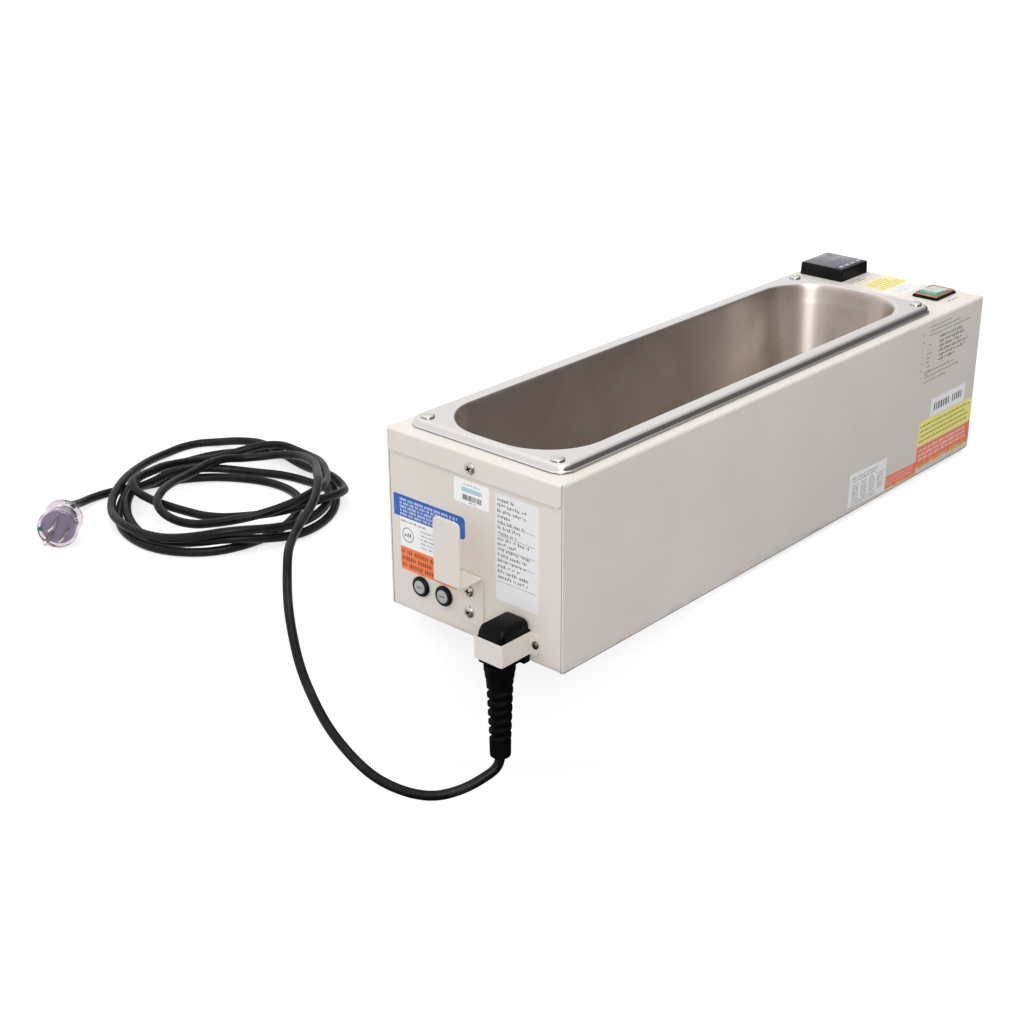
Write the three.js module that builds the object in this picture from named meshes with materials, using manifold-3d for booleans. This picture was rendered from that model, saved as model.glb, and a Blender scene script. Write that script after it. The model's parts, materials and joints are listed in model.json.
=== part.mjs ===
// A heated bath: a deep-drawn stainless basin hung in a painted sheet-metal housing, with a panel temperature
// controller and a rocker switch on its deck, and a mains inlet, two fuses and a cord hook on one end.
// Units are millimetres and +Z is up. The origin is the centre of the chassis underside. +X runs along the
// housing from the mains end to the control end, and -Y is the front.
import * as THREE from "three";
import { mergeVertices } from "three/addons/utils/BufferGeometryUtils.js";
import Module from "manifold-3d";

const wasm = await Module();
wasm.setup();

// Housing
const LENGTH = 610;
const WIDTH = 180;
const HEIGHT = 153.5;
const SHEET = 1.5;
const BEND_RADIUS = 2.5;
const GAP = 0.3;
const COVER_LIFT = 1.2;
const LIP_HEIGHT = 12;
const FLANGE_DROP = 18.6;
const FLANGE_INSET = 1.6;
const FLANGE_CHAMFER = 2.5;
const COVER_SCREW_DROP = 11.1;
const SCREW_HOLE = 2.1;

// Feet and vent slots in the chassis underside
const FOOT_HEIGHT = 3.5;
const FOOT_RADIUS = 9;
const FOOT_HOLE = 3;
const FOOT_X = 275;
const FOOT_Y = 70;
const VENT_SIZE = [60, 4];
const VENT_ROWS = 8;
const VENT_PITCH = 12;

// Basin: the rim hooks over the deck, the wall tapers down to a rounded floor
const BASIN_X = -32;
const RIM_HALF_LENGTH = 263;
const RIM_HALF_WIDTH = 80;
const RIM_CORNER = 13;
const RIM_HEIGHT = 7;
const OPENING_CORNER = 60;
const SIDE_FLANGE_EXTRA = 6;
const FLANGE_FROM = 4.5;
const FLANGE_TO = 7.5;
const BASIN_DEPTH = 100;
const BASIN_SHEET = 1;
const RIM_SCREW_X = 252;
const RIM_SCREW_Y = 66;
const RIM_SCREW_HEAD = 5.6;
const RIM_SCREW_RISE = 2.2;
const SCREW_SHANK = 1.7;

// Controls on the deck
const CONTROLLER_AT = [279.6, 59.5];
const CONTROLLER_SIZE = 48;
const CONTROLLER_RISE = 12;
const CONTROLLER_DEPTH = 78;
const CONTROLLER_CUTOUT = 45.4;
const KEY_SIZE = [7.6, 4.2];
const KEY_PITCH = 10;
const KEY_ROW = -17.5;
const KEY_TRAVEL = 0.6;
const SWITCH_AT = [279.5, -52];
const SWITCH_FRAME = [37.6, 26.8];
const SWITCH_CUTOUT = [30.2, 22.2];
const ROCKER_SIZE = [24.6, 18];
const ROCKER_RISE = 4;
const ROCKER_TILT = THREE.MathUtils.degToRad(5);
const SKIRT_RISE = 3.2;

// Mains end: places are (across, up) on the end panel, across positive towards the front
const INLET_AT = [45, 17.2];
const PANEL_SCREW_HEAD = 4.8;
const STRAP_SCREW_HEAD = 3.2;
const PAN_HEAD_RISE = 2.4;
const INLET_SCREW = 20;
const INLET_OPENING = [27.6, 20.4];
const FUSE_LEFT_AT = [-56, 26];
const FUSE_RIGHT_AT = [-31, 26];
const FUSE_RADIUS = 3.2;
const FUSE_LENGTH = 31.8;
const FUSE_BARREL = 6.4;
const FUSE_BORE = 5.8;
const FUSE_FLANGE = 8.4;
const FUSE_RISE = 3.2;
const STRAP_REACH = 33.5;
const STRAP_HALF_WIDTH = 14.3;
const STRAP_FROM = 7.8;
const STRAP_TO = 25.9;
const HOOK_FROM = -16;
const HOOK_TO = 11;
const HOOK_REACH = 26.5;
const HOOK_SCREWS = [40, 22];
const HOOK_SCREW_ACROSS = -3;
const CONNECTOR_SIZE = [25, 33];
const CONNECTOR_FROM = 3;
const CONNECTOR_CHAMFER = 4.5;

// Cord, boot and plug
const CORD_RADIUS = 4;
const BOOT_OUT = 20;
const BOOT_LENGTH = 78;
const FLOOR = -FOOT_HEIGHT;
const COIL_CENTRE = [-264.6, 348.8];
const COIL_TURNED = THREE.MathUtils.degToRad(-47.7);
const PLUG_FACE = [-421, 386];
const PLUG_HEADING = THREE.MathUtils.degToRad(-137);
const PLUG_ROLL = THREE.MathUtils.degToRad(-51);
const PLUG_RADIUS = 17.9;

const ROUND_STEPS = 16;
const X = new THREE.Vector3(1, 0, 0);
const Y = new THREE.Vector3(0, 1, 0);
const Z = new THREE.Vector3(0, 0, 1);

function paint(color, roughness, metalness = 0) {
  return new THREE.MeshStandardMaterial({ color, roughness, metalness });
}

const CREAM = paint(0xe9e4dd, 0.55);
const STAINLESS = paint(0xb9b4ae, 0.32, 1);
const ZINC = paint(0xa9a7a2, 0.35, 1);
const BRASS = paint(0xb79a5a, 0.4, 1);
const BLACK = paint(0x1b1b1c, 0.5);
const RUBBER = paint(0x161616, 0.75);
const SMOKED = paint(0x50545a, 0.15);
const COPPER_BROWN = paint(0x8a5a3c, 0.4);
const GREEN = paint(0x6fa57c, 0.25);
const CLEAR_VIOLET = paint(0xcfc2d6, 0.1);
const ORANGE = paint(0xc9652f, 0.7);
const WOOL = paint(0xe6dfc8, 0.95);
const GLASS = paint(0xdfe6e6, 0.08);
const GREY = paint(0x6c6c6c, 0.5);

// A closed geometry as a manifold solid, ready to join or cut.
function solid(geometry) {
  const bare = geometry.index ? geometry.toNonIndexed() : geometry.clone();
  bare.deleteAttribute("normal");
  bare.deleteAttribute("uv");
  const merged = mergeVertices(bare, 1e-3);
  const triVerts = new Uint32Array(merged.index.array);
  const vertProperties = merged.attributes.position.array;
  return new wasm.Manifold(new wasm.Mesh({ numProp: 3, vertProperties, triVerts }));
}

function geometryOf(body) {
  const mesh = body.getMesh();
  const geometry = new THREE.BufferGeometry();
  geometry.setAttribute("position", new THREE.BufferAttribute(mesh.vertProperties, 3));
  geometry.setIndex(new THREE.BufferAttribute(mesh.triVerts, 1));
  geometry.computeVertexNormals();
  return geometry;
}

// Adds one named piece to a group, from a geometry or from a manifold solid.
function add(group, name, shape, material) {
  const geometry = shape.isBufferGeometry ? shape : geometryOf(shape);
  const mesh = new THREE.Mesh(geometry, material);
  mesh.name = name;
  group.add(mesh);
  return mesh;
}

function join(...geometries) {
  return geometries.map(solid).reduce((all, next) => all.add(next));
}

function cut(body, ...geometries) {
  return geometries.reduce((all, next) => all.subtract(solid(next)), body);
}

// A box from its low corner to its high corner.
function block(low, high) {
  const size = high.map((value, i) => value - low[i]);
  const middle = high.map((value, i) => (value + low[i]) / 2);
  return new THREE.BoxGeometry(...size).translate(...middle);
}

// A rounded rectangle's points, counterclockwise, with the same count whatever its size.
function outline(halfX, halfY, radius, steps = 4) {
  const points = [];
  for (const [sideX, sideY, start] of [[1, 1, 0], [-1, 1, 1], [-1, -1, 2], [1, -1, 3]]) {
    for (let i = 0; i <= steps; i++) {
      const angle = (start + i / steps) * (Math.PI / 2);
      points.push(
        new THREE.Vector2(
          sideX * (halfX - radius) + radius * Math.cos(angle),
          sideY * (halfY - radius) + radius * Math.sin(angle),
        ),
      );
    }
  }
  return points;
}

function polygon(radius, sides = ROUND_STEPS, at = [0, 0]) {
  const points = [];
  for (let i = 0; i < sides; i++) {
    const angle = ((i + 0.5) / sides) * 2 * Math.PI;
    points.push(new THREE.Vector2(at[0] + radius * Math.cos(angle), at[1] + radius * Math.sin(angle)));
  }
  return points;
}

// A flat plate between two heights, from an outline and its holes.
function plate(points, from, to, holes = []) {
  const shape = new THREE.Shape(points);
  shape.holes = holes.map((hole) => new THREE.Path(hole));
  return new THREE.ExtrudeGeometry(shape, { depth: to - from, bevelEnabled: false }).translate(0, 0, from);
}

function rod(radius, from, to, at = [0, 0], sides = ROUND_STEPS) {
  return plate(polygon(radius, sides, at), from, to);
}

// A shape drawn in (y, z) and drawn out along x.
function alongX(shape, from, to) {
  const settings = { depth: to - from, bevelEnabled: false, curveSegments: 2 };
  const geometry = new THREE.ExtrudeGeometry(shape, settings);
  return geometry.applyMatrix4(new THREE.Matrix4().makeBasis(Y, Z, X)).translate(from, 0, 0);
}

// A shape drawn in (x, z) and drawn out along y, centred on y = 0.
function alongY(shape, length) {
  const settings = { depth: length, bevelEnabled: false, curveSegments: 2 };
  const geometry = new THREE.ExtrudeGeometry(shape, settings);
  const turned = new THREE.Matrix4().makeBasis(X, Z, Y.clone().negate());
  return geometry.applyMatrix4(turned).translate(0, length / 2, 0);
}

// A piece turned about z, from (radius, height) pairs going up its outside.
function turned(profile, sides = ROUND_STEPS) {
  const points = profile.map(([radius, height]) => new THREE.Vector2(radius, height));
  return new THREE.LatheGeometry(points, sides).rotateX(Math.PI / 2);
}

function tube(points, radius, sides, spacing) {
  const curve = new THREE.CatmullRomCurve3(points, false, "centripetal");
  curve.arcLengthDivisions = points.length * 8;
  const steps = Math.round(curve.getLength() / spacing);
  const section = new THREE.Shape(polygon(radius, sides));
  return new THREE.ExtrudeGeometry(section, { steps, bevelEnabled: false, extrudePath: curve });
}

// A skin through rings of equal point counts, closed by a flat cap on its first and last ring.
function loft(rings) {
  const count = rings[0].length;
  const index = [];
  for (let k = 0; k + 1 < rings.length; k++) {
    for (let i = 0; i < count; i++) {
      const next = (i + 1) % count;
      const a = k * count + i;
      const b = k * count + next;
      index.push(a, b, b + count, a, b + count, a + count);
    }
  }
  const last = (rings.length - 1) * count;
  for (let i = 1; i + 1 < count; i++) {
    index.push(0, i + 1, i, last, last + i, last + i + 1);
  }
  const geometry = new THREE.BufferGeometry().setFromPoints(rings.flat());
  geometry.setIndex(index);
  geometry.computeVertexNormals();
  return geometry;
}

function ring(points, z) {
  return points.map((point) => new THREE.Vector3(point.x, point.y, z));
}

const part = new THREE.Group();

// The end panels' own frames: x across the panel, y up, z out of it.
function panelFrame(outward) {
  const frame = new THREE.Group();
  const out = X.clone().multiplyScalar(outward);
  const across = Z.clone().cross(out);
  frame.quaternion.setFromRotationMatrix(new THREE.Matrix4().makeBasis(across, Z, out));
  frame.position.set((outward * LENGTH) / 2, 0, 0);
  frame.updateMatrix();
  part.add(frame);
  return frame;
}

const mainsEnd = panelFrame(-1);
const controlEnd = panelFrame(1);
const deck = new THREE.Group();
deck.position.z = HEIGHT;
part.add(deck);

// ---- Housing cover: an inverted U with a flange folded down over each end panel ----

function coverProfile() {
  const outer = WIDTH / 2;
  const inner = outer - SHEET;
  const bendY = outer - BEND_RADIUS;
  const bendZ = HEIGHT - BEND_RADIUS;
  const insideBend = BEND_RADIUS - SHEET;
  const shape = new THREE.Shape();
  shape.moveTo(-outer, COVER_LIFT);
  shape.lineTo(-inner, COVER_LIFT);
  shape.lineTo(-inner, bendZ);
  shape.absarc(-bendY, bendZ, insideBend, Math.PI, Math.PI / 2, true);
  shape.absarc(bendY, bendZ, insideBend, Math.PI / 2, 0, true);
  shape.lineTo(inner, COVER_LIFT);
  shape.lineTo(outer, COVER_LIFT);
  shape.absarc(bendY, bendZ, BEND_RADIUS, 0, Math.PI / 2, false);
  shape.absarc(-bendY, bendZ, BEND_RADIUS, Math.PI / 2, Math.PI, false);
  return shape;
}

function endFlange() {
  const face = LENGTH / 2 + GAP + SHEET;
  const low = HEIGHT - FLANGE_DROP;
  const half = WIDTH / 2 - FLANGE_INSET;
  const fold = new THREE.Shape();
  fold.moveTo(face - SHEET, low);
  fold.lineTo(face, low);
  fold.absarc(face - BEND_RADIUS, HEIGHT - BEND_RADIUS, BEND_RADIUS, 0, Math.PI / 2, false);
  fold.lineTo(LENGTH / 2 - SHEET, HEIGHT);
  fold.lineTo(LENGTH / 2 - SHEET, HEIGHT - SHEET);
  fold.lineTo(face - SHEET, HEIGHT - SHEET);
  const front = new THREE.Shape();
  front.moveTo(-half + FLANGE_CHAMFER, low);
  front.lineTo(half - FLANGE_CHAMFER, low);
  front.lineTo(half, low + FLANGE_CHAMFER);
  front.lineTo(half, HEIGHT + SHEET);
  front.lineTo(-half, HEIGHT + SHEET);
  front.lineTo(-half, low + FLANGE_CHAMFER);
  const folded = solid(alongY(fold, WIDTH - 2 * FLANGE_INSET));
  const trimmed = folded.intersect(solid(alongX(front, LENGTH / 2 - BEND_RADIUS, face + SHEET)));
  const hole = rod(SCREW_HOLE, 0, 2 * BEND_RADIUS, [0, HEIGHT - COVER_SCREW_DROP]);
  return cut(trimmed, onPanel(controlEnd, hole));
}

function onPanel(frame, geometry) {
  return geometry.applyMatrix4(frame.matrix);
}

function basinScrewPlaces() {
  return [[-1, -1], [1, -1], [1, 1], [-1, 1]].map(([sideX, sideY]) => [
    BASIN_X + sideX * RIM_SCREW_X,
    sideY * RIM_SCREW_Y,
  ]);
}

function cutoutInDeck(width, depth, [x, y]) {
  const low = [x - width / 2, y - depth / 2, HEIGHT - 2 * SHEET];
  const high = [x + width / 2, y + depth / 2, HEIGHT + SHEET];
  return block(low, high);
}

function housingCover() {
  const flange = endFlange();
  const body = solid(alongX(coverProfile(), -LENGTH / 2, LENGTH / 2))
    .add(flange)
    .add(flange.rotate([0, 0, 180]));
  const edge = rimRing(FLANGE_TO, 0);
  const opening = plate(edge.map((point) => new THREE.Vector2(point.x, point.y)), HEIGHT - 5, HEIGHT + 5);
  const screws = basinScrewPlaces().map((at) => rod(SCREW_HOLE, HEIGHT - 5, HEIGHT + 5, at, 12));
  return cut(
    body,
    opening,
    cutoutInDeck(CONTROLLER_CUTOUT, CONTROLLER_CUTOUT, CONTROLLER_AT),
    cutoutInDeck(...SWITCH_CUTOUT, SWITCH_AT),
    ...screws,
  );
}

// ---- Chassis: a U of base and end panels, with stiffening lips inside the cover ----

const CHASSIS_TOP = HEIGHT - SHEET - 0.5;
const CHASSIS_HALF_WIDTH = WIDTH / 2 - SHEET - 0.5;

function chassisProfile() {
  const outer = LENGTH / 2;
  const inner = outer - SHEET;
  const bend = outer - BEND_RADIUS;
  const insideBend = BEND_RADIUS - SHEET;
  const shape = new THREE.Shape();
  shape.moveTo(outer, CHASSIS_TOP);
  shape.lineTo(inner, CHASSIS_TOP);
  shape.absarc(bend, BEND_RADIUS, insideBend, 0, -Math.PI / 2, true);
  shape.absarc(-bend, BEND_RADIUS, insideBend, -Math.PI / 2, -Math.PI, true);
  shape.lineTo(-inner, CHASSIS_TOP);
  shape.lineTo(-outer, CHASSIS_TOP);
  shape.absarc(-bend, BEND_RADIUS, BEND_RADIUS, Math.PI, 1.5 * Math.PI, false);
  shape.absarc(bend, BEND_RADIUS, BEND_RADIUS, 1.5 * Math.PI, 2 * Math.PI, false);
  return shape;
}

function footPlaces() {
  return [[-1, -1], [1, -1], [1, 1], [-1, 1]].map(([sideX, sideY]) => [sideX * FOOT_X, sideY * FOOT_Y]);
}

function chassisBase() {
  const half = CHASSIS_HALF_WIDTH;
  const lipEnd = LENGTH / 2 - 5;
  let body = solid(alongY(chassisProfile(), 2 * half));
  for (const side of [-1, 1]) {
    const near = side < 0 ? -half : half - SHEET;
    body = body.add(solid(block([-lipEnd, near, SHEET / 2], [lipEnd, near + SHEET, LIP_HEIGHT])));
  }
  const underside = footPlaces().map((at) => rod(FOOT_HOLE, -SHEET, 2 * SHEET, at, 12));
  for (let row = 0; row < VENT_ROWS; row++) {
    const y = (row - (VENT_ROWS - 1) / 2) * VENT_PITCH;
    const slot = plate(outline(VENT_SIZE[0] / 2, VENT_SIZE[1] / 2, VENT_SIZE[1] / 2, 3), -SHEET, 2 * SHEET);
    underside.push(slot.translate(0, y, 0));
  }
  const inward = -2 * SHEET;
  const [inletU, inletV] = INLET_AT;
  const screwHeight = HEIGHT - COVER_SCREW_DROP;
  const opening = plate(outline(INLET_OPENING[0] / 2, INLET_OPENING[1] / 2, 2, 2), inward, SHEET);
  const mainsHoles = [
    opening.translate(inletU, inletV, 0),
    rod(SCREW_HOLE, inward, SHEET, [inletU - INLET_SCREW, inletV], 12),
    rod(SCREW_HOLE, inward, SHEET, [inletU + INLET_SCREW, inletV], 12),
    rod(FUSE_BARREL + GAP, inward, SHEET, FUSE_LEFT_AT),
    rod(FUSE_BARREL + GAP, inward, SHEET, FUSE_RIGHT_AT),
    rod(SCREW_HOLE, inward, SHEET, [0, screwHeight], 12),
    ...HOOK_SCREWS.map((height) => rod(SCREW_HOLE, inward, SHEET, [HOOK_SCREW_ACROSS, height], 12)),
  ].map((hole) => onPanel(mainsEnd, hole));
  const controlHole = onPanel(controlEnd, rod(SCREW_HOLE, inward, SHEET, [0, screwHeight], 12));
  return cut(body, ...underside, ...mainsHoles, controlHole);
}

function feet() {
  const profile = [
    [0, -FOOT_HEIGHT],
    [FOOT_RADIUS - 1.2, -FOOT_HEIGHT],
    [FOOT_RADIUS, -FOOT_HEIGHT + 1],
    [FOOT_RADIUS, -GAP / 2],
    [FOOT_HOLE - GAP, -GAP / 2],
    [FOOT_HOLE - GAP, SHEET + 0.2],
    [FOOT_HOLE + 0.6, SHEET + 0.5],
    [FOOT_HOLE - 1, SHEET + 3],
    [0, SHEET + 3],
  ];
  footPlaces().forEach(([x, y], i) => {
    add(part, `foot_${i + 1}`, turned(profile, 12), RUBBER).position.set(x, y, 0);
  });
}

// ---- Basin ----

const RIM_TOP = HEIGHT + RIM_HEIGHT;

// The basin's outline at a distance inwards from the rim's outer edge. The flat flange is wider along the sides
// than at the ends, and its inner edge has far larger corners than its outer edge.
function rimRing(inward, z) {
  const share = THREE.MathUtils.clamp((inward - FLANGE_FROM) / (FLANGE_TO - FLANGE_FROM), 0, 1);
  const halfX = RIM_HALF_LENGTH - inward;
  const halfY = RIM_HALF_WIDTH - inward - SIDE_FLANGE_EXTRA * share;
  const outerCorner = Math.max(RIM_CORNER - inward, 1);
  const innerCorner = OPENING_CORNER - inward;
  const corner = outerCorner + (innerCorner - outerCorner) * share;
  return ring(outline(halfX, halfY, corner), z).map((point) => point.setX(point.x + BASIN_X));
}

// The sheet's upper face as (inwards, below the rim's top) pairs: bead, turned-down edge, flange, wall, floor.
const BASIN_SECTION = [
  [0, 6.2],
  [0.1, 5.4],
  [0.9, 4.9],
  [1.4, 3.0],
  [2.4, 1.2],
  [4.2, 0.2],
  [FLANGE_FROM + 0.6, 0],
  [FLANGE_TO, 0],
  [8.9, 0.6],
  [9.8, 2.2],
  [10.4, 5.0],
  [11.5, 14.0],
  [12.2, 18.0],
  [20.0, 88.0],
  [22.0, 94.6],
  [26.5, 98.9],
  [33.0, BASIN_DEPTH],
];

// The same section moved through the sheet's thickness, to its lower face.
function offsetSection(section, distance) {
  return section.map((point, i) => {
    const before = section[Math.max(i - 1, 0)];
    const after = section[Math.min(i + 1, section.length - 1)];
    const along = new THREE.Vector2(after[0] - before[0], after[1] - before[1]).normalize();
    return [point[0] - along.y * distance, point[1] + along.x * distance];
  });
}

function basin() {
  const upper = BASIN_SECTION.map(([inward, down]) => rimRing(inward, RIM_TOP - down));
  const below = offsetSection(BASIN_SECTION, BASIN_SHEET);
  const lower = below.map(([inward, down]) => rimRing(inward, RIM_TOP - down));
  const skin = solid(loft([...lower.reverse(), ...upper]));
  const holes = basinScrewPlaces().map((at) => rod(SCREW_HOLE, HEIGHT, RIM_TOP + 5, at, 12));
  return cut(skin, ...holes);
}

function basinGasket() {
  const outer = rimRing(0.7, 0);
  const inner = rimRing(4.4, 0);
  return plate(outer, HEIGHT + 0.1, HEIGHT + 0.55, [inner]);
}

// Head radius and rise above the sheet, shank radius and length below it.
function screwProfile(head, rise, shank, reach) {
  return [
    [0, -reach],
    [shank * 0.6, -reach],
    [shank, -reach + 1],
    [shank, 0],
    [head, 0],
    [head * 0.98, rise * 0.35],
    [head * 0.8, rise * 0.75],
    [head * 0.45, rise * 0.95],
    [0, rise],
  ];
}

// A cross recess for a driver, cut into a screw head at the given height.
function crossRecess(size, from, to) {
  return join(
    block([-size / 2, -size / 8, from], [size / 2, size / 8, to]),
    block([-size / 8, -size / 2, from], [size / 8, size / 2, to]),
  );
}

function basinScrews() {
  const profile = screwProfile(RIM_SCREW_HEAD, RIM_SCREW_RISE, SCREW_SHANK, 13);
  basinScrewPlaces().forEach(([x, y], i) => {
    add(deck, `basin_screw_${i + 1}`, turned(profile), STAINLESS).position.set(x, y, RIM_HEIGHT + 0.1);
  });
}

function heating() {
  const matTop = RIM_TOP - BASIN_DEPTH - BASIN_SHEET - GAP;
  const matBottom = matTop - 2.5;
  const mat = plate(outline(205, 32, 8, 3), matBottom, matTop);
  add(part, "heater_mat", mat.translate(BASIN_X, 0, 0), ORANGE);

  const probe = turned([[0, 0], [1.8, 0], [2.4, 0.8], [2.4, 44], [3.2, 45], [3.2, 55], [0, 55]], 12);
  const probeMesh = add(part, "temperature_probe", probe, STAINLESS);
  probeMesh.rotation.y = Math.PI / 2;
  probeMesh.position.set(60, 0, matBottom - 3.6);

  const can = solid(turned([[0, -11], [7.8, -11], [7.8, -2.2], [11.5, -2], [11.5, -0.6], [0, -0.6]]));
  const tabs = [-5, 5].map((x) => block([x - 0.4, -3.1, -18], [x + 0.4, 3.1, -10]));
  const thermostat = tabs.reduce((all, tab) => all.add(solid(tab)), can);
  add(part, "limit_thermostat", thermostat, BLACK).position.set(0, 0, matBottom);

  const outer = outline(267, 77, 30, 3);
  const inner = outline(259, 70, 24, 3);
  const trough = cut(
    solid(plate(outer, 30 + 4, 132)),
    plate(inner, 38, 140),
    block([250, -10, 44], [280, 10, 60]),
  );
  add(part, "insulation_blanket", trough, WOOL).position.x = BASIN_X;
}

// ---- Temperature controller: bezel and rear case in one moulding, dropped through the deck ----

function controller() {
  const group = new THREE.Group();
  group.position.set(...CONTROLLER_AT, GAP / 2);
  deck.add(group);
  const half = CONTROLLER_SIZE / 2;
  const face = CONTROLLER_RISE;
  const bezel = loft([
    ring(outline(half, half, 1.6, 3), 0),
    ring(outline(half - 0.2, half - 0.2, 1.6, 3), face - 0.7),
    ring(outline(half - 0.8, half - 0.8, 1.4, 3), face),
  ]);
  const rearHalf = CONTROLLER_CUTOUT / 2 - 0.4;
  const rear = plate(outline(rearHalf, rearHalf, 1, 2), -CONTROLLER_DEPTH, 1);
  const windowLow = -12.8;
  const windowHigh = 20.3;
  const windowHalf = 20.3;
  const pocket = block([-windowHalf, windowLow, face - 1.4], [windowHalf, windowHigh, face + 1]);
  const keyPlaces = [0, 1, 2, 3].map((i) => (i - 1.5) * KEY_PITCH);
  const [keyLength, keyWidth] = KEY_SIZE;
  const pockets = keyPlaces.map((x) =>
    block(
      [x - keyLength / 2 - GAP, KEY_ROW - keyWidth / 2 - GAP, face - 3.4],
      [x + keyLength / 2 + GAP, KEY_ROW + keyWidth / 2 + GAP, face + 1],
    ),
  );
  const rearTerminals = [];
  for (let i = 0; i < 6; i++) {
    const x = (i - 2.5) * 6.6;
    for (const y of [-13, 13]) {
      const low = [x - 2, y - 4, -CONTROLLER_DEPTH - 1];
      const high = [x + 2, y + 4, -CONTROLLER_DEPTH + 3];
      rearTerminals.push(block(low, high));
    }
  }
  add(group, "controller_housing", cut(join(bezel, rear), pocket, ...pockets, ...rearTerminals), BLACK);
  const paneOutline = outline(windowHalf - GAP, (windowHigh - windowLow) / 2 - GAP, 1, 2);
  const pane = plate(paneOutline, face - 1.2, face - 0.2);
  add(group, "controller_window", pane, SMOKED).position.y = (windowLow + windowHigh) / 2;
  const key = loft([
    ring(outline(keyLength / 2, keyWidth / 2, 1, 2), face - 2.5),
    ring(outline(keyLength / 2, keyWidth / 2, 1, 2), face + 0.3),
    ring(outline(keyLength / 2 - 0.5, keyWidth / 2 - 0.5, 1, 2), face + KEY_TRAVEL + 0.2),
  ]);
  keyPlaces.forEach((x, i) => {
    add(group, `controller_key_${i + 1}`, key.clone(), GREY).position.set(x, KEY_ROW, 0);
  });
  const collarX = CONTROLLER_CUTOUT / 2 + 0.8;
  const collarY = CONTROLLER_CUTOUT / 2 + 2.2;
  const collar = plate(outline(collarX, collarY, 2, 2), -9, -SHEET - 2 * GAP, [
    outline(rearHalf + GAP, rearHalf + GAP, 1, 2),
  ]);
  add(group, "controller_collar", collar, BLACK);
}

// ---- Rocker switch: the rocker turns about an axis along y, just above the deck ----

const ROCKER_PIVOT = 1.4;

function rockerSwitch() {
  const group = new THREE.Group();
  group.position.set(...SWITCH_AT, 0);
  deck.add(group);
  const [frameX, frameY] = SWITCH_FRAME;
  const cavityX = ROCKER_SIZE[0] / 2 + 1.2;
  const cavityY = ROCKER_SIZE[1] / 2 + 0.5;
  const bodyX = SWITCH_CUTOUT[0] / 2 - GAP;
  const bodyY = SWITCH_CUTOUT[1] / 2 - GAP;
  const body = join(
    plate(outline(frameX / 2, frameY / 2, 2, 3), GAP / 2, 1.6),
    plate(outline(bodyX, bodyY, 1, 2), -26, 1),
    ...[-9, 9].flatMap((x) => [-5, 5].map((y) => block([x - 3.1, y - 0.4, -35], [x + 3.1, y + 0.4, -25]))),
  );
  const cavity = block([-cavityX, -cavityY, -14], [cavityX, cavityY, 5]);
  add(group, "switch_housing", cut(body, cavity), BLACK);

  const skirt = solid(
    loft([
      ring(outline(frameX / 2 - 0.8, frameY / 2 - 0.8, 2, 3), 1.75),
      ring(outline(frameX / 2 - 1.6, frameY / 2 - 1.6, 2, 3), 2.4),
      ring(outline(cavityX + 1.2, cavityY + 1.2, 1.6, 3), SKIRT_RISE),
    ]),
  );
  const opening = block([-cavityX, -cavityY, 0], [cavityX, cavityY, 8]);
  add(group, "switch_bezel", cut(skirt, opening), COPPER_BROWN);

  const halfLength = ROCKER_SIZE[0] / 2;
  const section = new THREE.Shape();
  section.moveTo(-halfLength, -1);
  section.lineTo(-halfLength * 0.78, -6);
  section.quadraticCurveTo(0, -12, halfLength * 0.78, -6);
  section.lineTo(halfLength, -1);
  section.lineTo(halfLength, ROCKER_RISE - 0.8);
  section.lineTo(halfLength * 0.94, ROCKER_RISE);
  section.quadraticCurveTo(0, ROCKER_RISE - 2.4, -halfLength * 0.94, ROCKER_RISE);
  section.lineTo(-halfLength, ROCKER_RISE - 0.8);
  const rocker = add(group, "switch_rocker", alongY(section, ROCKER_SIZE[1]), GREEN);
  rocker.position.z = ROCKER_PIVOT;
  rocker.rotation.y = ROCKER_TILT;
}

// ---- Mains end ----

function panHeadScrew(name, [across, up], lift, reach, head) {
  const profile = screwProfile(head, PAN_HEAD_RISE, SCREW_SHANK, reach);
  const body = solid(turned(profile)).subtract(crossRecess(head, 1.2, 4));
  add(mainsEnd, name, body, STAINLESS).position.set(across, up, lift);
}

function coverScrews() {
  const lift = GAP + SHEET + 0.1;
  for (const [name, frame] of [["cover_screw_left", mainsEnd], ["cover_screw_right", controlEnd]]) {
    const body = solid(turned(screwProfile(PANEL_SCREW_HEAD, PAN_HEAD_RISE, SCREW_SHANK, 8)));
    const recessed = body.subtract(crossRecess(PANEL_SCREW_HEAD, 1.2, 4));
    add(frame, name, recessed, STAINLESS).position.set(0, HEIGHT - COVER_SCREW_DROP, lift);
  }
}

function powerInlet() {
  const behind = -SHEET - GAP;
  const flange = plate(outline(25, 11.2, 4, 3), behind - 2.5, behind, [
    polygon(1.9, 12, [-INLET_SCREW, 0]),
    polygon(1.9, 12, [INLET_SCREW, 0]),
  ]);
  const shroud = plate(outline(13.4, 9.8, 2, 2), -28, 0.2);
  const cavity = plate(outline(12.4, 8.6, 2, 2), -18.4, 1);
  const body = cut(join(flange, shroud), cavity);
  const pins = [[-7, -2], [7, -2], [0, 2.4]];
  const whole = pins.reduce((all, [x, y]) => {
    const pin = block([x - 1, y - 2, -19], [x + 1, y + 2, -3.5]);
    const tab = block([x - 0.4, y - 3.1, -36], [x + 0.4, y + 3.1, -27]);
    return all.add(solid(pin)).add(solid(tab));
  }, body);
  add(mainsEnd, "power_inlet", whole, BLACK).position.set(...INLET_AT, 0);
}

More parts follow.
